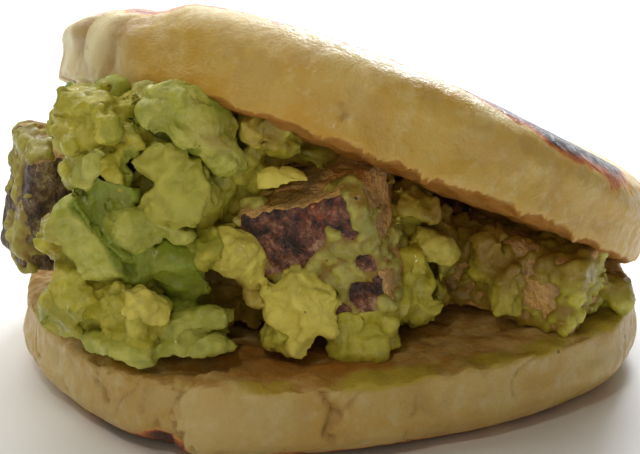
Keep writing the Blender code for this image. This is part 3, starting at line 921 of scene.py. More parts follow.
class Pantry:
    """Torn lumps and cut slices, modelled once and copied wherever the filling needs them."""

    KINDS = 7  # how many different ones there are of each shape

    def __init__(self) -> None:
        """Models the stock pieces."""
        self.stock = {
            Shape.LUMP: [self._torn_lump(seed) for seed in range(self.KINDS)],
            Shape.FLAKE: [self._torn_flake(seed) for seed in range(self.KINDS)],
            Shape.SLICE: [self._cut_slice()],
        }

    @staticmethod
    def _torn_lump(seed: int) -> tuple[np.ndarray, list[tuple[int, ...]]]:
        """Models a lump about 2 across with flat broken faces."""
        draw = random.Random(seed + 5)
        bpy.ops.mesh.primitive_ico_sphere_add(subdivisions=3, radius=1.0)
        obj = bpy.context.object
        with editing(obj):
            for _ in range(7):
                normal = Vector((draw.gauss(0, 1), draw.gauss(0, 1), draw.gauss(0, 1))).normalized()
                bpy.ops.mesh.select_all(action="SELECT")
                bpy.ops.mesh.bisect(
                    plane_co=normal * draw.uniform(0.55, 0.85), plane_no=normal, use_fill=True, clear_outer=True
                )
            bpy.ops.mesh.select_all(action="SELECT")
            bpy.ops.mesh.normals_make_consistent(inside=False)
        made = mesh_arrays(obj)
        bpy.data.objects.remove(obj)
        return made

    @staticmethod
    def _torn_flake(seed: int) -> tuple[np.ndarray, list[tuple[int, ...]]]:
        """Models a thin flake about 2 across, thickest in the middle, with corners where it tore."""
        draw = random.Random(seed + 15)
        bpy.ops.mesh.primitive_ico_sphere_add(subdivisions=3, radius=1.0)
        obj = bpy.context.object
        with editing(obj):
            bpy.ops.transform.translate(value=(0, 0, -0.6))
            bpy.ops.mesh.bisect(plane_co=(0, 0, 0), plane_no=(0, 0, -1), use_fill=True, clear_outer=True)
            turn = 0.0
            while turn < 2 * math.pi:
                turn += draw.uniform(0.7, 1.5)
                way = Vector((math.cos(turn), math.sin(turn), draw.uniform(-0.5, 0.3))).normalized()
                bpy.ops.mesh.select_all(action="SELECT")
                bpy.ops.mesh.bisect(
                    plane_co=way * draw.uniform(0.35, 0.7), plane_no=way, use_fill=True, clear_outer=True
                )
            bpy.ops.mesh.select_all(action="SELECT")
            bpy.ops.mesh.normals_make_consistent(inside=False)
        made = mesh_arrays(obj)
        bpy.data.objects.remove(obj)
        return made

    @staticmethod
    def _cut_slice() -> tuple[np.ndarray, list[tuple[int, ...]]]:
        """Models a smooth wedge about 2 long, sharp where the knife met the outside."""
        bpy.ops.mesh.primitive_uv_sphere_add(segments=32, ring_count=20, radius=1.0, rotation=(0, math.pi / 2, 0))
        obj = bpy.context.object
        with editing(obj):
            for normal, depth in (((0, 0.35, 1), 0.35), ((0, 0.3, -1), 0.4), ((0, -1, 0.1), 0.55)):
                bpy.ops.mesh.select_all(action="SELECT")
                way = Vector(normal).normalized()
                bpy.ops.mesh.bisect(plane_co=way * depth, plane_no=way, use_fill=True, clear_outer=True)
            bpy.ops.mesh.select_all(action="SELECT")
            bpy.ops.mesh.normals_make_consistent(inside=False)
        made = mesh_arrays(obj)
        bpy.data.objects.remove(obj)
        return made

    def placed(self, form: Form) -> tuple[np.ndarray, list[tuple[int, ...]]]:
        """Returns a copy of a stock piece with a form's size, turn and place."""
        kinds = self.stock[form.shape]
        points, faces = kinds[form.seed % len(kinds)]
        low, high = points.min(0), points.max(0)
        points = (points - (low + high) / 2) / (high - low) * np.array(form.size) * MM
        turn = np.array(Euler([math.radians(angle) for angle in form.turn]).to_matrix())
        return points @ turn.T + np.array(form.centre) * MM, faces


@dataclass
class Heap:
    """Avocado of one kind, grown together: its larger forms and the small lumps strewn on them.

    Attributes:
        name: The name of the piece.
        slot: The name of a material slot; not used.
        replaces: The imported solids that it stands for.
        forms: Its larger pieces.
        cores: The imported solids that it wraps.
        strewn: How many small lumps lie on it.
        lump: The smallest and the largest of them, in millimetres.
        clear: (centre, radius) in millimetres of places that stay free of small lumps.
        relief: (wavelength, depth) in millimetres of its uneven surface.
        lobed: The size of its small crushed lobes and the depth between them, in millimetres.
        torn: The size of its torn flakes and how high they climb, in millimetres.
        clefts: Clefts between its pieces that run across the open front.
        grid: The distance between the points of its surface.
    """

    name: str
    slot: str
    replaces: tuple[str, ...]
    forms: tuple[Form, ...] = ()
    cores: tuple[str, ...] = ()
    strewn: int = 0
    lump: tuple[float, float] = (2.0, 5.0)
    clear: tuple[tuple[Triple, float], ...] = ()
    relief: tuple[tuple[float, float], ...] = ((3.2, 0.25), (1.2, 0.09))
    lobed: tuple[float, float] = (2.9, 0.3)
    torn: tuple[float, float] = (4.6, 1.0)
    clefts: tuple[Crack, ...] = ()
    grid: float = 0.42 * MM
    smoothing: int = 1
    seed: int = 1
    pull_in: float = 1.0
    ripeness: list[float] = field(default_factory=list)

    def build(self, pantry: Pantry, flesh: bpy.types.Material) -> bpy.types.Object:
        """Models the heap and dresses it.

        Args:
            pantry: The stock pieces.
            flesh: Its material.

        Returns:
            The finished piece.
        """
        parts = [self._core(node) for node in self.cores]
        self.ripeness = [0.3] * len(parts)
        for form in self.forms:
            parts.append(pantry.placed(form))
            self.ripeness.append(form.ripe)
        parts += self._strewn(parts, pantry)
        obj = joined(self.name, parts)
        source = BVHTree.FromPolygons(*self._tree_input(parts))
        owners = np.repeat(np.arange(len(parts)), [len(faces) for _, faces in parts])
        finish_with(obj, "REMESH", mode="VOXEL", voxel_size=self.grid)
        finish_with(obj, "SMOOTH", factor=0.5, iterations=self.smoothing)
        self._colour(obj, source, owners)
        self._crush(obj)
        obj.data.materials.append(flesh)
        obj.data.shade_smooth()
        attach(obj, BODY)
        if self.replaces:
            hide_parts(*self.replaces)
        return obj

    @staticmethod
    def _tree_input(parts: list) -> tuple[list, list]:
        """Returns all vertices and faces of several meshes, numbered together."""
        points: list = []
        faces: list = []
        for part_points, part_faces in parts:
            faces += [tuple(corner + len(points) for corner in face) for face in part_faces]
            points += part_points.tolist()
        return points, faces

    def _core(self, node: str) -> tuple[np.ndarray, list[tuple[int, ...]]]:
        """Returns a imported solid, drawn in so that small lumps can cover it."""
        obj = copy_of_solid(node, "core")
        finish_with(obj, "REMESH", mode="VOXEL", voxel_size=0.9 * MM)
        finish_with(obj, "SMOOTH", factor=0.5, iterations=3)
        points, faces = mesh_arrays(obj)
        points = points - normals_of(obj) * self.pull_in * MM
        bpy.data.objects.remove(obj)
        return points, faces

    def _strewn(self, parts: list, pantry: Pantry) -> list:
        """Returns small lumps that lie on the other parts, each sunk in by about half."""
        if not self.strewn:
            return []
        draw = random.Random(self.seed)
        carrier = joined("carrier", parts)
        carrier.data.calc_loop_triangles()
        points = points_of(carrier)
        corners = np.array([tuple(t.vertices) for t in carrier.data.loop_triangles])
        a, b, c = (points[corners[:, k]] for k in range(3))
        cross = np.cross(b - a, c - a)
        area = np.linalg.norm(cross, axis=1)
        total = np.cumsum(area)
        bpy.data.objects.remove(carrier)
        found: list = []
        while len(found) < self.strewn:
            pick = min(int(np.searchsorted(total, draw.uniform(0, total[-1]))), len(area) - 1)
            u, v = draw.random(), draw.random()
            if u + v > 1:
                u, v = 1 - u, 1 - v
            place = (a[pick] + (b[pick] - a[pick]) * u + (c[pick] - a[pick]) * v) / MM
            normal = Vector(cross[pick]).normalized()
            if abs(normal.z) > 0.85 or any(np.linalg.norm(place - np.array(at)) < far for at, far in self.clear):
                continue
            size = self.lump[0] + (self.lump[1] - self.lump[0]) * draw.random() ** 2
            flat = draw.uniform(0.45, 0.9)
            turn = (normal.to_track_quat("Z", "Y").to_matrix() @ Matrix.Rotation(draw.uniform(0, 6.28), 3, "Z")).to_euler()
            tilt = [math.degrees(part) + draw.uniform(-25, 25) for part in turn]
            shape = Shape.FLAKE if draw.random() < 0.5 else Shape.LUMP
            form = Form(
                shape, tuple(place), (size * draw.uniform(0.7, 1.5), size, size * flat), tuple(tilt),
                draw.randrange(100), draw.random() * 0.7,
            )
            found.append(pantry.placed(form))
            self.ripeness.append(form.ripe)
        return found

    def _colour(self, obj: bpy.types.Object, source: BVHTree, owners: np.ndarray) -> None:
        """Stores how green each point is, after the piece that it came from."""
        ripe = np.array(self.ripeness)
        points = points_of(obj)
        nearest = [source.find_nearest(Vector(place))[2] for place in points.tolist()]
        shown = ripe[owners[np.array(nearest)]]
        for cleft in self.clefts:
            shown = np.maximum(shown, bell(distance_from_front(points, cleft.line), 1.3 * MM))
        keep_on(obj, "ripe", shown)
        # Juice and painted shade, read by the material
        keep_on(obj, "juice_and_shade", juice_and_shade_on(points))

    def _crush(self, obj: bpy.types.Object) -> None:
        """Gives the surface its fine relief, and stores where shade is painted: in its folds and between its crushed
        lobes.
        """
        points, normals = points_of(obj), normals_of(obj)
        rise = np.zeros(len(points))
        for step, (wavelength, depth) in enumerate(self.relief):
            rise += depth * MM * uneven(points, wavelength * MM, self.seed + step)
        size, depth = self.lobed
        warp = np.stack([uneven(points, 2.2 * MM, self.seed + 30 + k) for k in range(3)], 1) * 0.7 * MM
        lobe = smoothstep(0.0, 0.5, creases(points + warp, size * MM, self.seed + 11))
        crushed = smoothstep(-0.35, 0.45, uneven(points, 9 * MM, self.seed + 12))
        rise += depth * MM * (lobe - 0.6) * (0.25 + 0.75 * crushed)
        size, depth = self.torn
        rise += depth * MM * terraces(uneven(points + warp, size * MM, self.seed + 20), 2.2)
        fold = bell(uneven(points, 5 * MM, self.seed + 9), 0.10) * smoothstep(0.0, 0.4, uneven(points, 6 * MM, self.seed + 10))
        rise -= 0.4 * MM * fold
        for cleft in self.clefts:
            open_to_front = smoothstep(0.0, 0.4, -normals[:, 1])
            away = distance_from_front(points + 0.5 * warp, cleft.line)
            rise -= cleft.depth * MM * bell(away, cleft.width * MM) * open_to_front
        move_points(obj, points + normals * rise[:, None])
        # Painted shade in the folds and between the crushed lobes
        keep_on(obj, "crease_shade", np.maximum(fold, 0.7 * (1 - lobe) * crushed))


CRUSHED = AvocadoFinish("crushed avocado", (0.60, 0.545, 0.08), (0.42, 0.38, 0.035), (0.31, 0.34, 0.04), 0.55, 0.13)
RUBBED = AvocadoFinish("rubbed avocado", (0.53, 0.49, 0.11), (0.37, 0.33, 0.07), (0.36, 0.37, 0.08), 0.55, 0.15)


@dataclass
class DicedMeat:
    """One piece of diced meat, and the avocado that clings to it.

    Attributes:
        node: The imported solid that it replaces.
        centre: Its centre in millimetres.
        size: Its sides in millimetres.
        turn: Its turn in degrees.
        seared: The directions out of its seared faces, before it is turned.
        coated: (centre, radius) in millimetres of the places that avocado covers.
        bare: (centre, radius) in millimetres of the places that it leaves free.
        seed: Draws its unevenness.
        rosy: (centre, radius) in millimetres of the places where its crust is red.
        patchy: How much of the coat is rubbed off in small patches, from 0 to 1.
        finish: The finish of the meat.
        coat: The finish of the avocado on it.
    """

    node: str
    centre: Triple
    size: Triple
    turn: Triple
    seared: tuple[Triple, ...]
    coated: tuple[tuple[Triple, float], ...] = ()
    bare: tuple[tuple[Triple, float], ...] = ()
    seed: int = 1
    rosy: tuple[tuple[Triple, float], ...] = ()
    patchy: float = 0.3
    finish: MeatFinish = MeatFinish()
    coat: AvocadoFinish = RUBBED
    grid: float = 0.4 * MM

    def build(self, meat: bpy.types.Material, flesh: bpy.types.Material) -> list[bpy.types.Object]:
        """Models the meat and its coat, and dresses them.

        Args:
            meat: The material of the meat.
            flesh: The material of the avocado on it.

        Returns:
            The meat, and its coat where it has one.
        """
        obj = self._cube()
        self._sear(obj)
        coat = self._coat(obj, flesh) if self.coated else None
        obj.data.materials.append(meat)
        obj.data.shade_smooth()
        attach(obj, BODY)
        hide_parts(self.node)
        return [obj] + ([coat] if coat else [])

    def _matrix(self) -> Matrix:
        """Returns the meat's turn and place."""
        turn = Euler([math.radians(angle) for angle in self.turn]).to_matrix().to_4x4()
        return Matrix.Translation(Vector(self.centre) * MM) @ turn

    def _cube(self) -> bpy.types.Object:
        """Models a diced block: bevelled edges, sides that swell a little, and an uneven skin."""
        bpy.ops.mesh.primitive_cube_add(size=1.0)
        obj = bpy.context.object
        obj.name = obj.data.name = self.node.replace("meat", "diced_meat")
        with editing(obj):
            bpy.ops.transform.resize(value=[side * MM for side in self.size])
            bpy.ops.mesh.bevel(offset=1.5 * MM, segments=3)
            bpy.ops.mesh.select_all(action="SELECT")
            bpy.ops.mesh.subdivide(number_cuts=4)
        obj.data.transform(self._matrix())
        finish_with(obj, "REMESH", mode="VOXEL", voxel_size=self.grid)
        finish_with(obj, "SMOOTH", factor=0.5, iterations=3)
        points, normals = points_of(obj), normals_of(obj)
        rise = 0.75 * uneven(points, 8 * MM, self.seed) + 0.35 * uneven(points, 3 * MM, self.seed + 1)
        rise += 0.16 * uneven(points, 1.1 * MM, self.seed + 2)
        move_points(obj, points + normals * rise[:, None] * MM)
        return obj

    def _sear(self, obj: bpy.types.Object) -> None:
        """Stores which faces are seared."""
        normals = normals_of(obj)
        turn = np.array(self._matrix().to_3x3())
        seared = np.zeros(len(normals))
        for way in self.seared:
            seared = np.maximum(seared, smoothstep(0.6, 0.85, normals @ (turn @ np.array(way))))
        keep_on(obj, "seared", seared)
        rosy = np.full(len(normals), 0.12)
        for centre, radius in self.rosy:
            rosy = np.maximum(rosy, smoothstep(1.3, 0.7, within(points_of(obj), centre, (radius,) * 3)))
        keep_on(obj, "rosy", rosy)

    def _coat(self, obj: bpy.types.Object, flesh: bpy.types.Material) -> bpy.types.Object:
        """Models the avocado that clings to the meat: a copy that stands out only where it is thick."""
        coat = bpy.data.objects.new(self.node.replace("meat", "avocado_on_meat"), obj.data.copy())
        bpy.context.scene.collection.objects.link(coat)
        for name in ("seared", "rosy"):
            coat.data.attributes.remove(coat.data.attributes[name])
        points, normals = points_of(coat), normals_of(coat)
        thick = np.full(len(points), -1.2)
        for centre, radius in self.coated:
            away = np.linalg.norm(points / MM - np.array(centre), axis=1)
            thick = np.maximum(thick, 0.6 * smoothstep(radius * 1.2, radius * 0.7, away) - 1.2 * smoothstep(radius * 0.9, radius * 1.2, away))
        for centre, radius in self.bare:
            away = np.linalg.norm(points / MM - np.array(centre), axis=1)
            thick -= 2.4 * smoothstep(radius * 1.2, radius * 0.8, away)
        warp = np.stack([uneven(points, 2.4 * MM, self.seed + 40 + k) for k in range(3)], 1) * 0.9 * MM
        lumps = smoothstep(0.0, 0.5, creases(points + warp, 3.4 * MM, self.seed + 5))
        rise = thick + 0.3 * (lumps - 0.6) + 0.2 * uneven(points, 4.0 * MM, self.seed + 6)
        rise += 0.3 * uneven(points, 1.4 * MM, self.seed + 7) + 0.4 * terraces(uneven(points + warp, 3.6 * MM, self.seed + 9), 2.2)
        worn = uneven(points, 4.2 * MM, self.seed + 10) + 0.5 * uneven(points, 1.6 * MM, self.seed + 11)
        rise -= self.patchy * 3.0 * smoothstep(0.2, 0.6, worn)
        rise = np.clip(rise, -0.7, 1.8)
        move_points(coat, points + normals * rise[:, None] * MM)
        finish_with(coat, "SMOOTH", factor=0.5, iterations=1)
        keep_on(coat, "ripe", 0.35 + 0.3 * uneven(points, 5 * MM, self.seed + 8))
        # Painted shade between the lumps of the coat
        keep_on(coat, "crease_shade", bell(lumps, 0.25) * 0.6)
        # Juice and painted shade from the heap's mask, and browner where the coat is thin
        keep_on(coat, "juice_and_shade", np.maximum(0.8 * juice_and_shade_on(points), 0.8 * smoothstep(0.9, 0.1, rise)))
        coat.data.materials.append(flesh)
        coat.data.shade_smooth()
        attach(coat, BODY)
        return coat


# --- the studio ----------------------------------------------------------------------------------


@dataclass(frozen=True)
class Studio:
    """A pale table, soft lights from above and behind, and the camera."""

    target: Triple = (-0.8, 0.0, 19.0)
    distance: float = 340.0
    elevation: float = 20.0
    lens: float = 123.0

    def build(self) -> None:
        """Sets the table, the lights, the world and the camera."""
        self._table()
        self._camera()
        self._window()
        self._light("key", (90, 230, 200), 90, 0.75, (0.84, 0.90, 1.0))
        self._light("card", (60, 400, 130), 420, 1.2, (0.92, 0.95, 1.0))
        self._light("front", (-60, -380, 150), 300, 0.23, (1.0, 0.84, 0.56))
        self._light("lamp", (-70, -230, 300), 22, 0.14, (1.0, 0.95, 0.86))
        self._world()
        scene = bpy.context.scene
        scene.view_settings.view_transform = "Standard"
        scene.view_settings.look = "None"

    def _camera(self) -> None:
        """Places the camera in front of the open side, a little above it."""
        data = bpy.data.cameras.new("camera")
        data.lens = self.lens
        data.clip_start = 0.01
        camera = bpy.data.objects.new("camera", data)
        rise = math.radians(self.elevation)
        back = Vector((0, -math.cos(rise), math.sin(rise)))
        camera.location = (Vector(self.target) + back * self.distance) * MM
        camera.rotation_euler = (-back).to_track_quat("-Z", "Y").to_euler()
        bpy.context.scene.collection.objects.link(camera)
        bpy.context.scene.camera = camera

    @staticmethod
    def _light(name: str, place: Triple, side: float, power: float, colour: Colour) -> None:
        """Adds a square soft light, in millimetres and watts, that faces the cake."""
        data = bpy.data.lights.new(name, "AREA")
        data.size = side * MM
        data.energy = power
        data.color = colour
        light = bpy.data.objects.new(name, data)
        light.location = Vector(place) * MM
        light.visible_camera = False
        light.rotation_euler = (Vector((0, 0, 25)) * MM - light.location).to_track_quat("-Z", "Y").to_euler()
        bpy.context.scene.collection.objects.link(light)

    @staticmethod
    def _window() -> None:
        """Adds wide soft daylight from above and behind, even over the whole table."""
        data = bpy.data.lights.new("daylight", "SUN")
        data.energy = 2.05
        data.angle = math.radians(75)
        data.color = (1.0, 0.98, 0.94)
        light = bpy.data.objects.new("daylight", data)
        light.rotation_euler = Vector((-0.28, 0.5, 0.82)).to_track_quat("Z", "Y").to_euler()
        bpy.context.scene.collection.objects.link(light)

    @staticmethod
    def _world() -> None:
        """Fills the room with dim warm light, and shows it white behind the table."""
        world = bpy.data.worlds.new("room")
        world.use_nodes = True
        tree = Tree(world.node_tree)
        dim = world.node_tree.nodes["Background"]
        dim.inputs["Color"].default_value = (1.0, 0.93, 0.82, 1.0)
        dim.inputs["Strength"].default_value = 0.07
        white = tree.add("ShaderNodeBackground", Color=(1.0, 1.0, 1.0), Strength=1.0)
        seen = tree.add("ShaderNodeLightPath").outputs["Is Camera Ray"]
        mixed = tree.add("ShaderNodeMixShader", Fac=seen)
        tree.links.new(dim.outputs[0], mixed.inputs[1])
        tree.links.new(white.outputs[0], mixed.inputs[2])
        tree.links.new(mixed.outputs[0], world.node_tree.nodes["World Output"].inputs["Surface"])
        bpy.context.scene.world = world

    @staticmethod
    def _table() -> None:
        """Lays a wide pale table under the cake."""
        bpy.ops.mesh.primitive_plane_add(size=6.0, location=(0, 0, -0.05 * MM))
        table = bpy.context.object
        table.name = "table"
        made, tree, shader = new_material("pale table")
        tone = tree.mix((0.90, 0.90, 0.90), (0.86, 0.86, 0.855), tree.noise(60 * MM, 3, 0.5, 1))
        tree.feed(shader.inputs["Base Color"], tone)
        shader.inputs["Roughness"].default_value = 0.7
        shader.inputs["Specular IOR Level"].default_value = 0.2
        table.data.materials.append(made)


# --- everything in order -------------------------------------------------------------------------


def dough_halves() -> list[tuple[DoughHalf, DoughFinish]]:
    """Returns the two halves of the corn cake with their cracks and dents, and the finish of each."""
    lower = LowerHalf(
        node="lower_half",
        name="corn_cake_lower",
        up=(0.0, 0.0, 1.0),
        seed=11,
        cracks=(
            Crack(((-0.8, -45.6, 12.0), (0.9, -45.0, 8.5), (0.4, -45.4, 5.5), (1.2, -45.0, 3.0)), 1.0, 0.4),
            Crack(((1.0, -45.0, 8.4), (1.9, -44.9, 8.0), (1.6, -45.1, 7.2)), 0.9, 0.6),
            Crack(((-31.9, -36.2, 12.0), (-32.7, -36.0, 9.0), (-30.8, -38.1, 6.9)), 0.6, 0.35),
            Crack(((5.3, -44.3, 11.4), (4.4, -44.5, 10.6), (3.3, -44.6, 9.1)), 0.45, 0.25),
            Crack(((13.0, -41.8, 9.2), (12.6, -42.6, 7.8), (12.0, -42.9, 6.5)), 0.4, 0.25),
            Crack(((28.5, -35.0, 11.5), (28.8, -35.6, 9.0)), 0.35, 0.25),
            Crack(((-24.6, -43.0, 4.0), (-23.4, -43.6, 5.6), (-23.0, -43.8, 7.0)), 0.5, 0.3),
        ),
        flakes=(
            Flake((-12.2, -46.0, 6.8), (8.6, 8.0, 7.2), 1.3),
            Flake((-22.9, -43.9, 8.0), (3.2, 5.0, 4.6), -0.6),
        ),
        scorched=(((-23.0, -44.0, 2.4), (4.6, 5.0, 2.4)),),
        dents=(Dent((-22.6, -44.5, 1.6), (4.0, 5.0, 2.2), 1.2),),
        flaky=0.15,
        ragged=(((0.0, -44.0, 12.0), (60.0, 20.0, 6.0), 0.35),),
    )
    upper = UpperHalf(
        node="upper_half",
        name="corn_cake_upper",
        up=(-0.342, -0.342, -0.875),
        seed=51,
        cracks=(
            Crack(((1.9, -39.0, 50.8), (2.6, -39.3, 49.8), (2.3, -39.6, 48.9)), 0.25, 0.25),
            Crack(((-34.4, -11.5, 54.2), (-35.4, -11.6, 51.2)), 0.3, 1.6),
            Crack(((-29.2, -19.5, 56.0), (-30.2, -20.3, 54.2), (-30.7, -20.5, 51.0)), 0.45, 1.5),
            Crack(((-25.6, -21.1, 57.9), (-28.9, -21.4, 55.5)), 0.4, 1.4),
        ),
        dents=(
            Dent((-24.2, -10.0, 60.0), (3.2, 24.0, 4.0), 1.3),
            Dent((-36.4, -9.0, 52.5), (4.0, 4.5, 4.2), -0.7),
            Dent((-33.4, -15.8, 51.8), (3.0, 3.4, 3.8), -0.6),
            Dent((-28.2, -22.2, 54.2), (3.0, 3.5, 3.4), -0.8),
            Dent((-31.8, -14.0, 56.0), (4.5, 4.5, 2.6), -0.8),
        ),
        lobes=(((-38.0, -14.0, 50.0), (11.0, 16.0, 9.0), 6.5, 0.5),),
        flaky=0.1,
        hairlines=0.15,
        ragged=(
            ((26.0, -34.0, 34.0), (20.0, 14.0, 16.0), 1.5),
            ((0.0, -40.0, 42.0), (20.0, 12.0, 12.0), 0.6),
        ),
    )
    # Painted light: the lower half's colours are darkened for the shade on its front, and the upper half's floury
    # colour is near white for its painted highlight
    shaded = DoughFinish("griddled corn dough, lower, painted shade", (0.58, 0.435, 0.155), (0.525, 0.34, 0.076), (0.61, 0.51, 0.275), (0.70, 0.61, 0.34))
    bright = DoughFinish("griddled corn dough, upper, painted highlight", (0.63, 0.45, 0.12), (0.575, 0.355, 0.06), (0.69, 0.56, 0.25), (0.97, 0.90, 0.58))
    return [(lower, shaded), (upper, bright)]


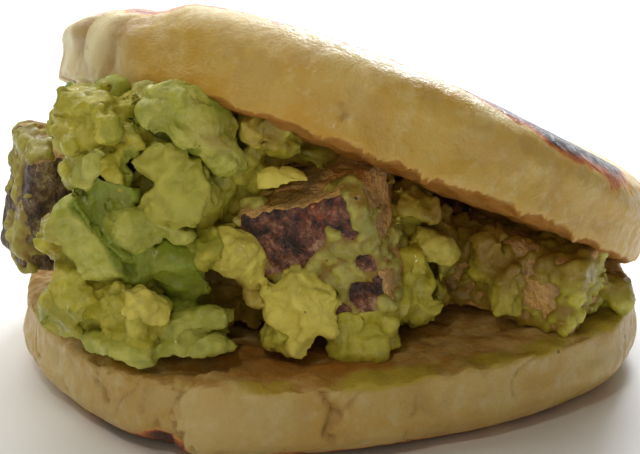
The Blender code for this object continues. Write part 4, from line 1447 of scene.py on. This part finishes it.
def heaps() -> list[tuple[Heap, AvocadoFinish]]:
    """Returns the avocado: crushed, cut from the green outside, and cut from the yellow middle."""
    green = AvocadoFinish("green avocado", (0.58, 0.575, 0.13), (0.42, 0.44, 0.06), (0.25, 0.31, 0.03), 0.5, 0.16)
    yellow = AvocadoFinish("yellow avocado", (0.80, 0.71, 0.145), (0.68, 0.60, 0.10), (0.46, 0.46, 0.07), 0.6, 0.28)
    lump, flake, cut = Shape.LUMP, Shape.FLAKE, Shape.SLICE
    return [
        (
            Heap(
                name="avocado_crushed_left",
                slot="crushed_avocado",
                replaces=("avocado_block_left", "avocado_lump_low"),
                forms=(
                    Form(lump, (-32.5, -29.0, 47.0), (9, 12, 6), (0, 10, 30), 12, 0.3),
                    Form(lump, (-28.0, -29.0, 45.0), (9, 11, 8), (10, 30, 0), 2, 0.3),
                    Form(lump, (-33.5, -29.5, 43.0), (8, 11, 7), (0, -10, 10), 3, 0.2),
                    Form(lump, (-31.0, -26.0, 40.0), (12, 12, 14), (0, 20, 30), 4, 0.5),
                    Form(lump, (-24.6, -31.5, 49.4), (5, 6, 4), (0, 10, 0), 1, 0.4),
                    Form(lump, (-30.5, -33.5, 45.8), (5, 5, 5), (10, 0, 20), 5, 0.1),
                    Form(lump, (-26.6, -33.0, 44.0), (5, 5, 4), (0, 30, 0), 6, 0.2),
                    Form(lump, (-21.0, -31.0, 41.0), (12, 8, 8), (0, 28, 0), 5, 0.3),
                    Form(lump, (-19.5, -27.0, 33.0), (16, 12, 14), (0, 0, 0), 6, 0.5),
                    Form(lump, (-29.5, -34.0, 40.0), (5, 7, 6), (0, 20, 0), 1, 0.2),
                    Form(lump, (-35.5, -31.0, 27.8), (11, 9, 5), (0, 12, 0), 0, 0.2),
                    Form(lump, (-35.4, -34.0, 23.4), (6, 8, 5), (0, 20, 0), 7, 0.4),
                    Form(lump, (-33.0, -36.0, 20.6), (6, 7, 7), (20, -20, 0), 8, 0.1),
                    Form(lump, (-29.0, -36.5, 22.4), (6, 8, 7), (0, 30, 0), 3, 0.3),
                    Form(lump, (-25.6, -37.4, 18.4), (7, 7, 8), (0, 40, 0), 9, 0.1),
                    Form(lump, (-29.6, -36.8, 17.6), (6, 6, 5), (0, 10, 0), 2, 0.3),
                    Form(lump, (-36.5, -33.0, 18.0), (9, 9, 9), (0, 0, 20), 10, 0.6),
                    Form(lump, (-28.0, -30.0, 20.0), (18, 12, 12), (0, 0, 0), 11, 0.6),
                    Form(lump, (-17.0, -33.5, 29.0), (7, 8, 6), (0, 30, 0), 13, 0.6),
                ),
                strewn=150,
                lump=(1.8, 4.4),
                clear=(((-22.0, -33.0, 40.0), 5.0),),
                clefts=(
                    Crack(((-26.2, -36.0, 48.9), (-19.8, -36.0, 44.4), (-14.9, -36.0, 40.8), (-11.8, -36.0, 38.7)), 1.8, 0.6),
                    Crack(((-34.4, -36.0, 37.2), (-31.7, -36.0, 36.0), (-27.0, -36.0, 35.0)), 1.4, 0.8),
                    Crack(((-36.2, -36.0, 27.8), (-33.4, -36.0, 27.2), (-30.9, -36.0, 26.6)), 1.6, 0.6),
                    Crack(((-26.6, -36.0, 42.6), (-27.0, -36.0, 38.7)), 1.0, 0.9),
                ),
                grid=0.38 * MM,
                seed=3,
            ),
            CRUSHED,
        ),
        (
            Heap(
                name="avocado_crushed_right",
                slot="crushed_avocado",
                replaces=("avocado_mash", "avocado_under", "avocado_side", "avocado_end"),
                cores=("avocado_mash",),
                forms=(
                    Form(lump, (-8.0, -30.0, 44.5), (11, 9, 7), (0, 24, 0), 14, 0.2),
                    Form(lump, (-10.5, -28.0, 38.4), (6, 8, 10), (0, 0, 0), 15, 0.5),
                    Form(lump, (5.2, -30.0, 16.8), (12, 10, 8), (0, -12, 12), 25, 0.4),
                    Form(lump, (2.0, -33.8, 15.6), (6, 6, 6.5), (20, 30, 0), 9, 0.4),
                    Form(lump, (6.6, -33.0, 17.6), (6, 7, 7), (0, -20, 30), 13, 0.3),
                    Form(lump, (10.2, -29.8, 18.8), (5.5, 8, 6.5), (10, 10, 0), 2, 0.5),
                    Form(flake, (5.6, -35.4, 13.8), (7, 4, 3.6), (10, -12, 10), 4, 0.2),
                    Form(lump, (-6.6, -34.6, 15.4), (5, 6, 6.5), (0, 20, 0), 7, 0.3),
                    Form(lump, (12.0, -27.0, 22.4), (6, 8, 9), (0, 8, 10), 21, 0.1),
                    Form(lump, (12.8, -27.5, 17.0), (6, 8, 8), (10, -20, 0), 22, 0.2),
                    Form(lump, (11.5, -22.0, 29.6), (7, 9, 9), (0, 20, 0), 22, 0.4),
                    Form(lump, (-1.5, -21.0, 39.0), (16, 11, 6), (0, 24, 0), 23, 0.5),
                    Form(lump, (23.2, -22.5, 23.4), (5, 6, 9), (0, 25, 0), 26, 0.3),
                    Form(flake, (26.4, -24.0, 19.4), (6, 6, 9), (0, 10, 0), 24, 0.2),
                    Form(lump, (26.6, -25.0, 18.0), (4, 4, 5), (0, 10, 0), 23, 0.1),
                    Form(lump, (20.5, -16.0, 20.5), (10, 9, 12), (0, 20, 0), 27, 0.7),
                    Form(lump, (32.4, -23.0, 20.2), (4, 5, 5), (0, 0, 0), 28, 0.5),
                    Form(lump, (35.6, -22.6, 17.4), (5, 5, 6), (0, 30, 0), 22, 0.4),
                    Form(lump, (33.0, -23.8, 15.4), (4, 4, 4), (0, 0, 0), 25, 0.3),
                    Form(lump, (39.8, -19.0, 18.2), (6, 6, 4), (0, 20, 0), 21, 0.4),
                    Form(lump, (42.6, -15.5, 14.6), (7, 8, 8), (0, 0, 0), 24, 0.5),
                ),
                strewn=300,
                lump=(1.8, 4.6),
                clear=(((0.5, -36.0, 28.0), 11.0),),
                grid=0.45 * MM,
                seed=8,
            ),
            CRUSHED,
        ),
        (
            Heap(
                name="avocado_green",
                slot="green_avocado",
                replaces=("avocado_slab_upper", "avocado_slice", "avocado_slab_low", "avocado_leaves_low"),
                forms=(
                    Form(lump, (-32.0, -24.0, 47.8), (12, 11, 4.5), (0, -6, 0), 11, 0.6),
                    Form(lump, (-36.0, -23.0, 47.2), (5, 8, 4), (0, -20, 0), 4, 0.8),
                    Form(flake, (-16.4, -34.6, 46.4), (19, 7.5, 6), (55, 40, 0), 1, 0.4),
                    Form(lump, (-22.6, -36.2, 48.6), (6, 5, 6), (0, 30, 0), 4, 0.0),
                    Form(lump, (-19.6, -36.6, 50.4), (5, 4, 3.6), (0, -30, 0), 2, 0.0),
                    Form(flake, (-20.0, -37.4, 46.6), (7, 4, 2.6), (70, 48, 0), 4, 0.1),
                    Form(flake, (-16.0, -34.6, 46.4), (9, 8, 4.5), (60, 20, 0), 3, 0.7),
                    Form(flake, (-14.6, -35.2, 43.8), (11, 5.5, 3.4), (60, 52, 0), 2, 0.3),
                    Form(cut, (-32.2, -34.0, 40.6), (8, 6, 4), (0, -50, 0), 14, 0.35),
                    Form(cut, (-29.8, -33.6, 37.0), (8.5, 5, 3.4), (0, 20, 0), 14, 1.0),
                    Form(cut, (-32.2, -34.2, 30.6), (14, 9, 7), (10, 50, -10), 14, 0.0),
                    Form(cut, (-29.4, -33.0, 29.6), (16, 8, 6), (-10, 50, 0), 14, 0.9),
                    Form(lump, (-26.6, -35.0, 32.4), (9, 7, 6), (0, 30, 0), 4, 0.1),
                    Form(lump, (-21.6, -34.6, 31.6), (8, 6, 4), (0, 20, 0), 3, 0.1),
                    Form(lump, (-20.6, -33.4, 24.8), (12, 9, 9), (0, 15, 0), 15, 0.9),
                    Form(flake, (-28.4, -37.2, 15.4), (11, 8, 4), (-10, 4, -8), 17, 0.2),
                    Form(flake, (-18.6, -36.4, 18.6), (13, 8, 3.4), (-15, -12, 0), 18, 0.4),
                    Form(flake, (-19.6, -37.0, 15.4), (15, 9, 3.4), (-15, -6, 0), 19, 0.3),
                    Form(lump, (-22.0, -33.0, 16.5), (18, 8, 7), (0, 0, 0), 16, 0.8),
                ),
                clefts=(
                    Crack(((-34.3, -36.0, 35.0), (-30.2, -36.0, 30.2), (-26.5, -36.0, 24.8)), 1.5, 0.5),
                ),
                grid=0.38 * MM,
                seed=4,
                relief=((4.5, 0.25), (1.5, 0.12)),
                lobed=(3.6, 0.2),
                torn=(5.5, 0.8),
            ),
            green,
        ),
        (
            Heap(
                name="avocado_yellow",
                slot="yellow_avocado",
                replaces=(
                    "avocado_lump_mid", "avocado_shoulder", "avocado_wedge", "avocado_lump_front",
                    "avocado_flake_right", "avocado_flake_top",
                ),
                forms=(
                    Form(lump, (-22.7, -34.6, 41.6), (8, 6, 6.5), (10, 8, 0), 13, 0.7),
                    Form(lump, (-17.8, -35.0, 38.2), (4.5, 6, 8), (0, -20, 0), 12, 0.8),
                    Form(lump, (-21.4, -35.6, 35.4), (12.5, 7, 8), (10, -8, 0), 6, 0.75),
                    Form(flake, (-25.0, -39.0, 22.3), (8, 6, 4), (0, 20, 0), 10, 0.2),
                    Form(lump, (-8.5, -31.0, 45.4), (9, 8, 6), (0, 24, 0), 18, 0.3),
                    Form(flake, (-12.3, -33.5, 27.6), (11, 9, 7), (80, -14, 10), 19, 0.1),
                    Form(lump, (-11.0, -33.0, 26.5), (6, 6, 9), (0, -14, 10), 16, 0.1),
                    Form(lump, (-14.2, -34.2, 29.6), (4, 4, 5), (0, 30, 0), 2, 0.0),
                    Form(flake, (-9.8, -33.6, 20.6), (4.4, 3, 2.0), (0, 24, 0), 15, 0.2),
                    Form(flake, (-3.4, -36.2, 20.6), (11, 10, 5), (80, 10, 0), 3, 0.0),
                    Form(lump, (-3.4, -36.6, 20.0), (9.5, 4.2, 9), (0, 40, 0), 3, 0.0),
                    Form(lump, (-6.4, -36.2, 18.8), (5, 4, 7), (0, -15, 0), 5, 0.1),
                    Form(flake, (0.6, -36.4, 21.4), (4.5, 4, 3), (80, 30, 0), 1, 0.0),
                    Form(flake, (-4.4, -36.8, 24.6), (4, 3.6, 3), (70, -40, 0), 6, 0.0),
                    Form(lump, (0.6, -36.6, 17.6), (3.6, 3.4, 4), (0, 30, 0), 2, 0.1),
                    Form(flake, (-7.6, -36.4, 22.6), (3.4, 3, 3), (70, 60, 0), 4, 0.1),
                    Form(lump, (-3.6, -37.4, 15.6), (4.4, 3.8, 5), (0, 15, 0), 4, 0.0),
                    Form(flake, (16.0, -25.0, 25.6), (9, 6, 4), (30, 18, 10), 22, 0.2),
                    Form(flake, (-6.2, -34.5, 39.6), (7.5, 5, 3.2), (0, -8, -6), 23, 0.1),
                ),
                seed=5,
                relief=((4.0, 0.2), (1.4, 0.1)),
                lobed=(3.2, 0.2),
                torn=(5.0, 0.8),
                grid=0.38 * MM,
            ),
            yellow,
        ),
    ]


def diced_meat() -> list[DicedMeat]:
    """Returns the four pieces of meat that show."""
    grey = MeatFinish("browned meat, greyer", (0.025, 0.019, 0.010), (0.08, 0.056, 0.026), (0.15, 0.11, 0.055), (0.36, 0.29, 0.15))
    return [
        DicedMeat(
            "meat_centre", (0.5, -26.8, 27.4), (18, 18, 19.5), (8, -16, -14),
            seared=((0, -1, 0),), seed=61, rosy=(((-1.0, -36.0, 35.0), 3.0),), patchy=0.35,
            coated=(
                ((3.5, -36, 27), 9.0), ((0, -36, 17), 10.0), ((10, -30, 22), 9.0), ((-10.4, -30, 33), 4.4),
                ((3.5, -35, 35), 5.0), ((-7.6, -34, 21.5), 6.0),
            ),
            bare=(
                ((-4.2, -35, 32.0), 4.4), ((-5.4, -35, 27.6), 2.8), ((0, -37, 35.5), 2.6), ((6.5, -33, 37), 3.0),
                ((5.2, -35.4, 21.8), 1.9), ((7.6, -33.6, 22.2), 1.4), ((6.2, -35, 18.0), 1.6), ((2.2, -36, 19.3), 1.4),
                ((5.6, -35.4, 27.2), 1.5), ((8.2, -31.6, 31.0), 1.8),
            ),
        ),
        DicedMeat(
            "meat_left", (-38.8, -10.5, 27.0), (15, 15, 19), (4, 10, 20),
            seared=((-1, 0, 0), (0, -1, 0)), seed=62, patchy=0.38, finish=grey,
            coated=(
                ((-44.5, -12, 36), 8.0), ((-46, -14, 27), 7.0), ((-45, -17, 19), 6.0), ((-38, -17, 38.5), 4.0),
                ((-43.5, -17, 30), 4.0),
            ),
            bare=(((-40.2, -16, 32.5), 4.4), ((-39.2, -18.5, 27.0), 3.8)),
        ),
        DicedMeat(
            "meat_right", (28.5, -17.3, 18.9), (23, 12, 12), (4, 5, -27),
            seared=((0, 1, 0),), seed=63, patchy=0.2, coat=CRUSHED,
            coated=(
                ((20, -22, 24), 8.0), ((25, -24, 20), 8.0), ((36, -20, 20), 9.0), ((28, -18, 26), 8.0),
                ((38, -18, 15), 8.0), ((33, -24, 15), 6.0), ((33, -22, 22), 6.0),
            ),
            bare=(((29.6, -25.5, 17.6), 2.2), ((22.5, -24.0, 20.0), 1.5)),
        ),
        DicedMeat(
            "meat_behind", (14.0, -12.0, 24.4), (11, 9, 11), (12, 20, 30),
            seared=((0, -1, 0), (0, 0, 1)), seed=64,
        ),
    ]


def main() -> None:
    """Loads the frame, builds every sub-assembly and writes how large the result is."""
    logging.basicConfig(level=logging.INFO, format="%(name)s: %(message)s")
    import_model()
    looks = SharedLooks.build()
    for half, finish in dough_halves():
        report(half.build(finish.material(looks)))
    pantry = Pantry()
    flesh: dict[AvocadoFinish, bpy.types.Material] = {}
    for heap, finish in heaps():
        if finish not in flesh:
            flesh[finish] = finish.material(looks)
        report(heap.build(pantry, flesh[finish]))
    meat: dict[MeatFinish, bpy.types.Material] = {}
    for piece in diced_meat():
        if piece.finish not in meat:
            meat[piece.finish] = piece.finish.material(looks)
        if piece.coat not in flesh:
            flesh[piece.coat] = piece.coat.material(looks)
        for obj in piece.build(meat[piece.finish], flesh[piece.coat]):
            report(obj)
    Studio().build()


def report(obj: bpy.types.Object) -> None:
    """Logs a finished piece and its size."""
    triangles = sum(len(face.vertices) - 2 for face in obj.data.polygons)
    size = ", ".join(f"{side / MM:.1f}" for side in obj.dimensions)
    log.info("%s: %d triangles, %s mm", obj.name, triangles, size)


if __name__ == "__main__":
    main()
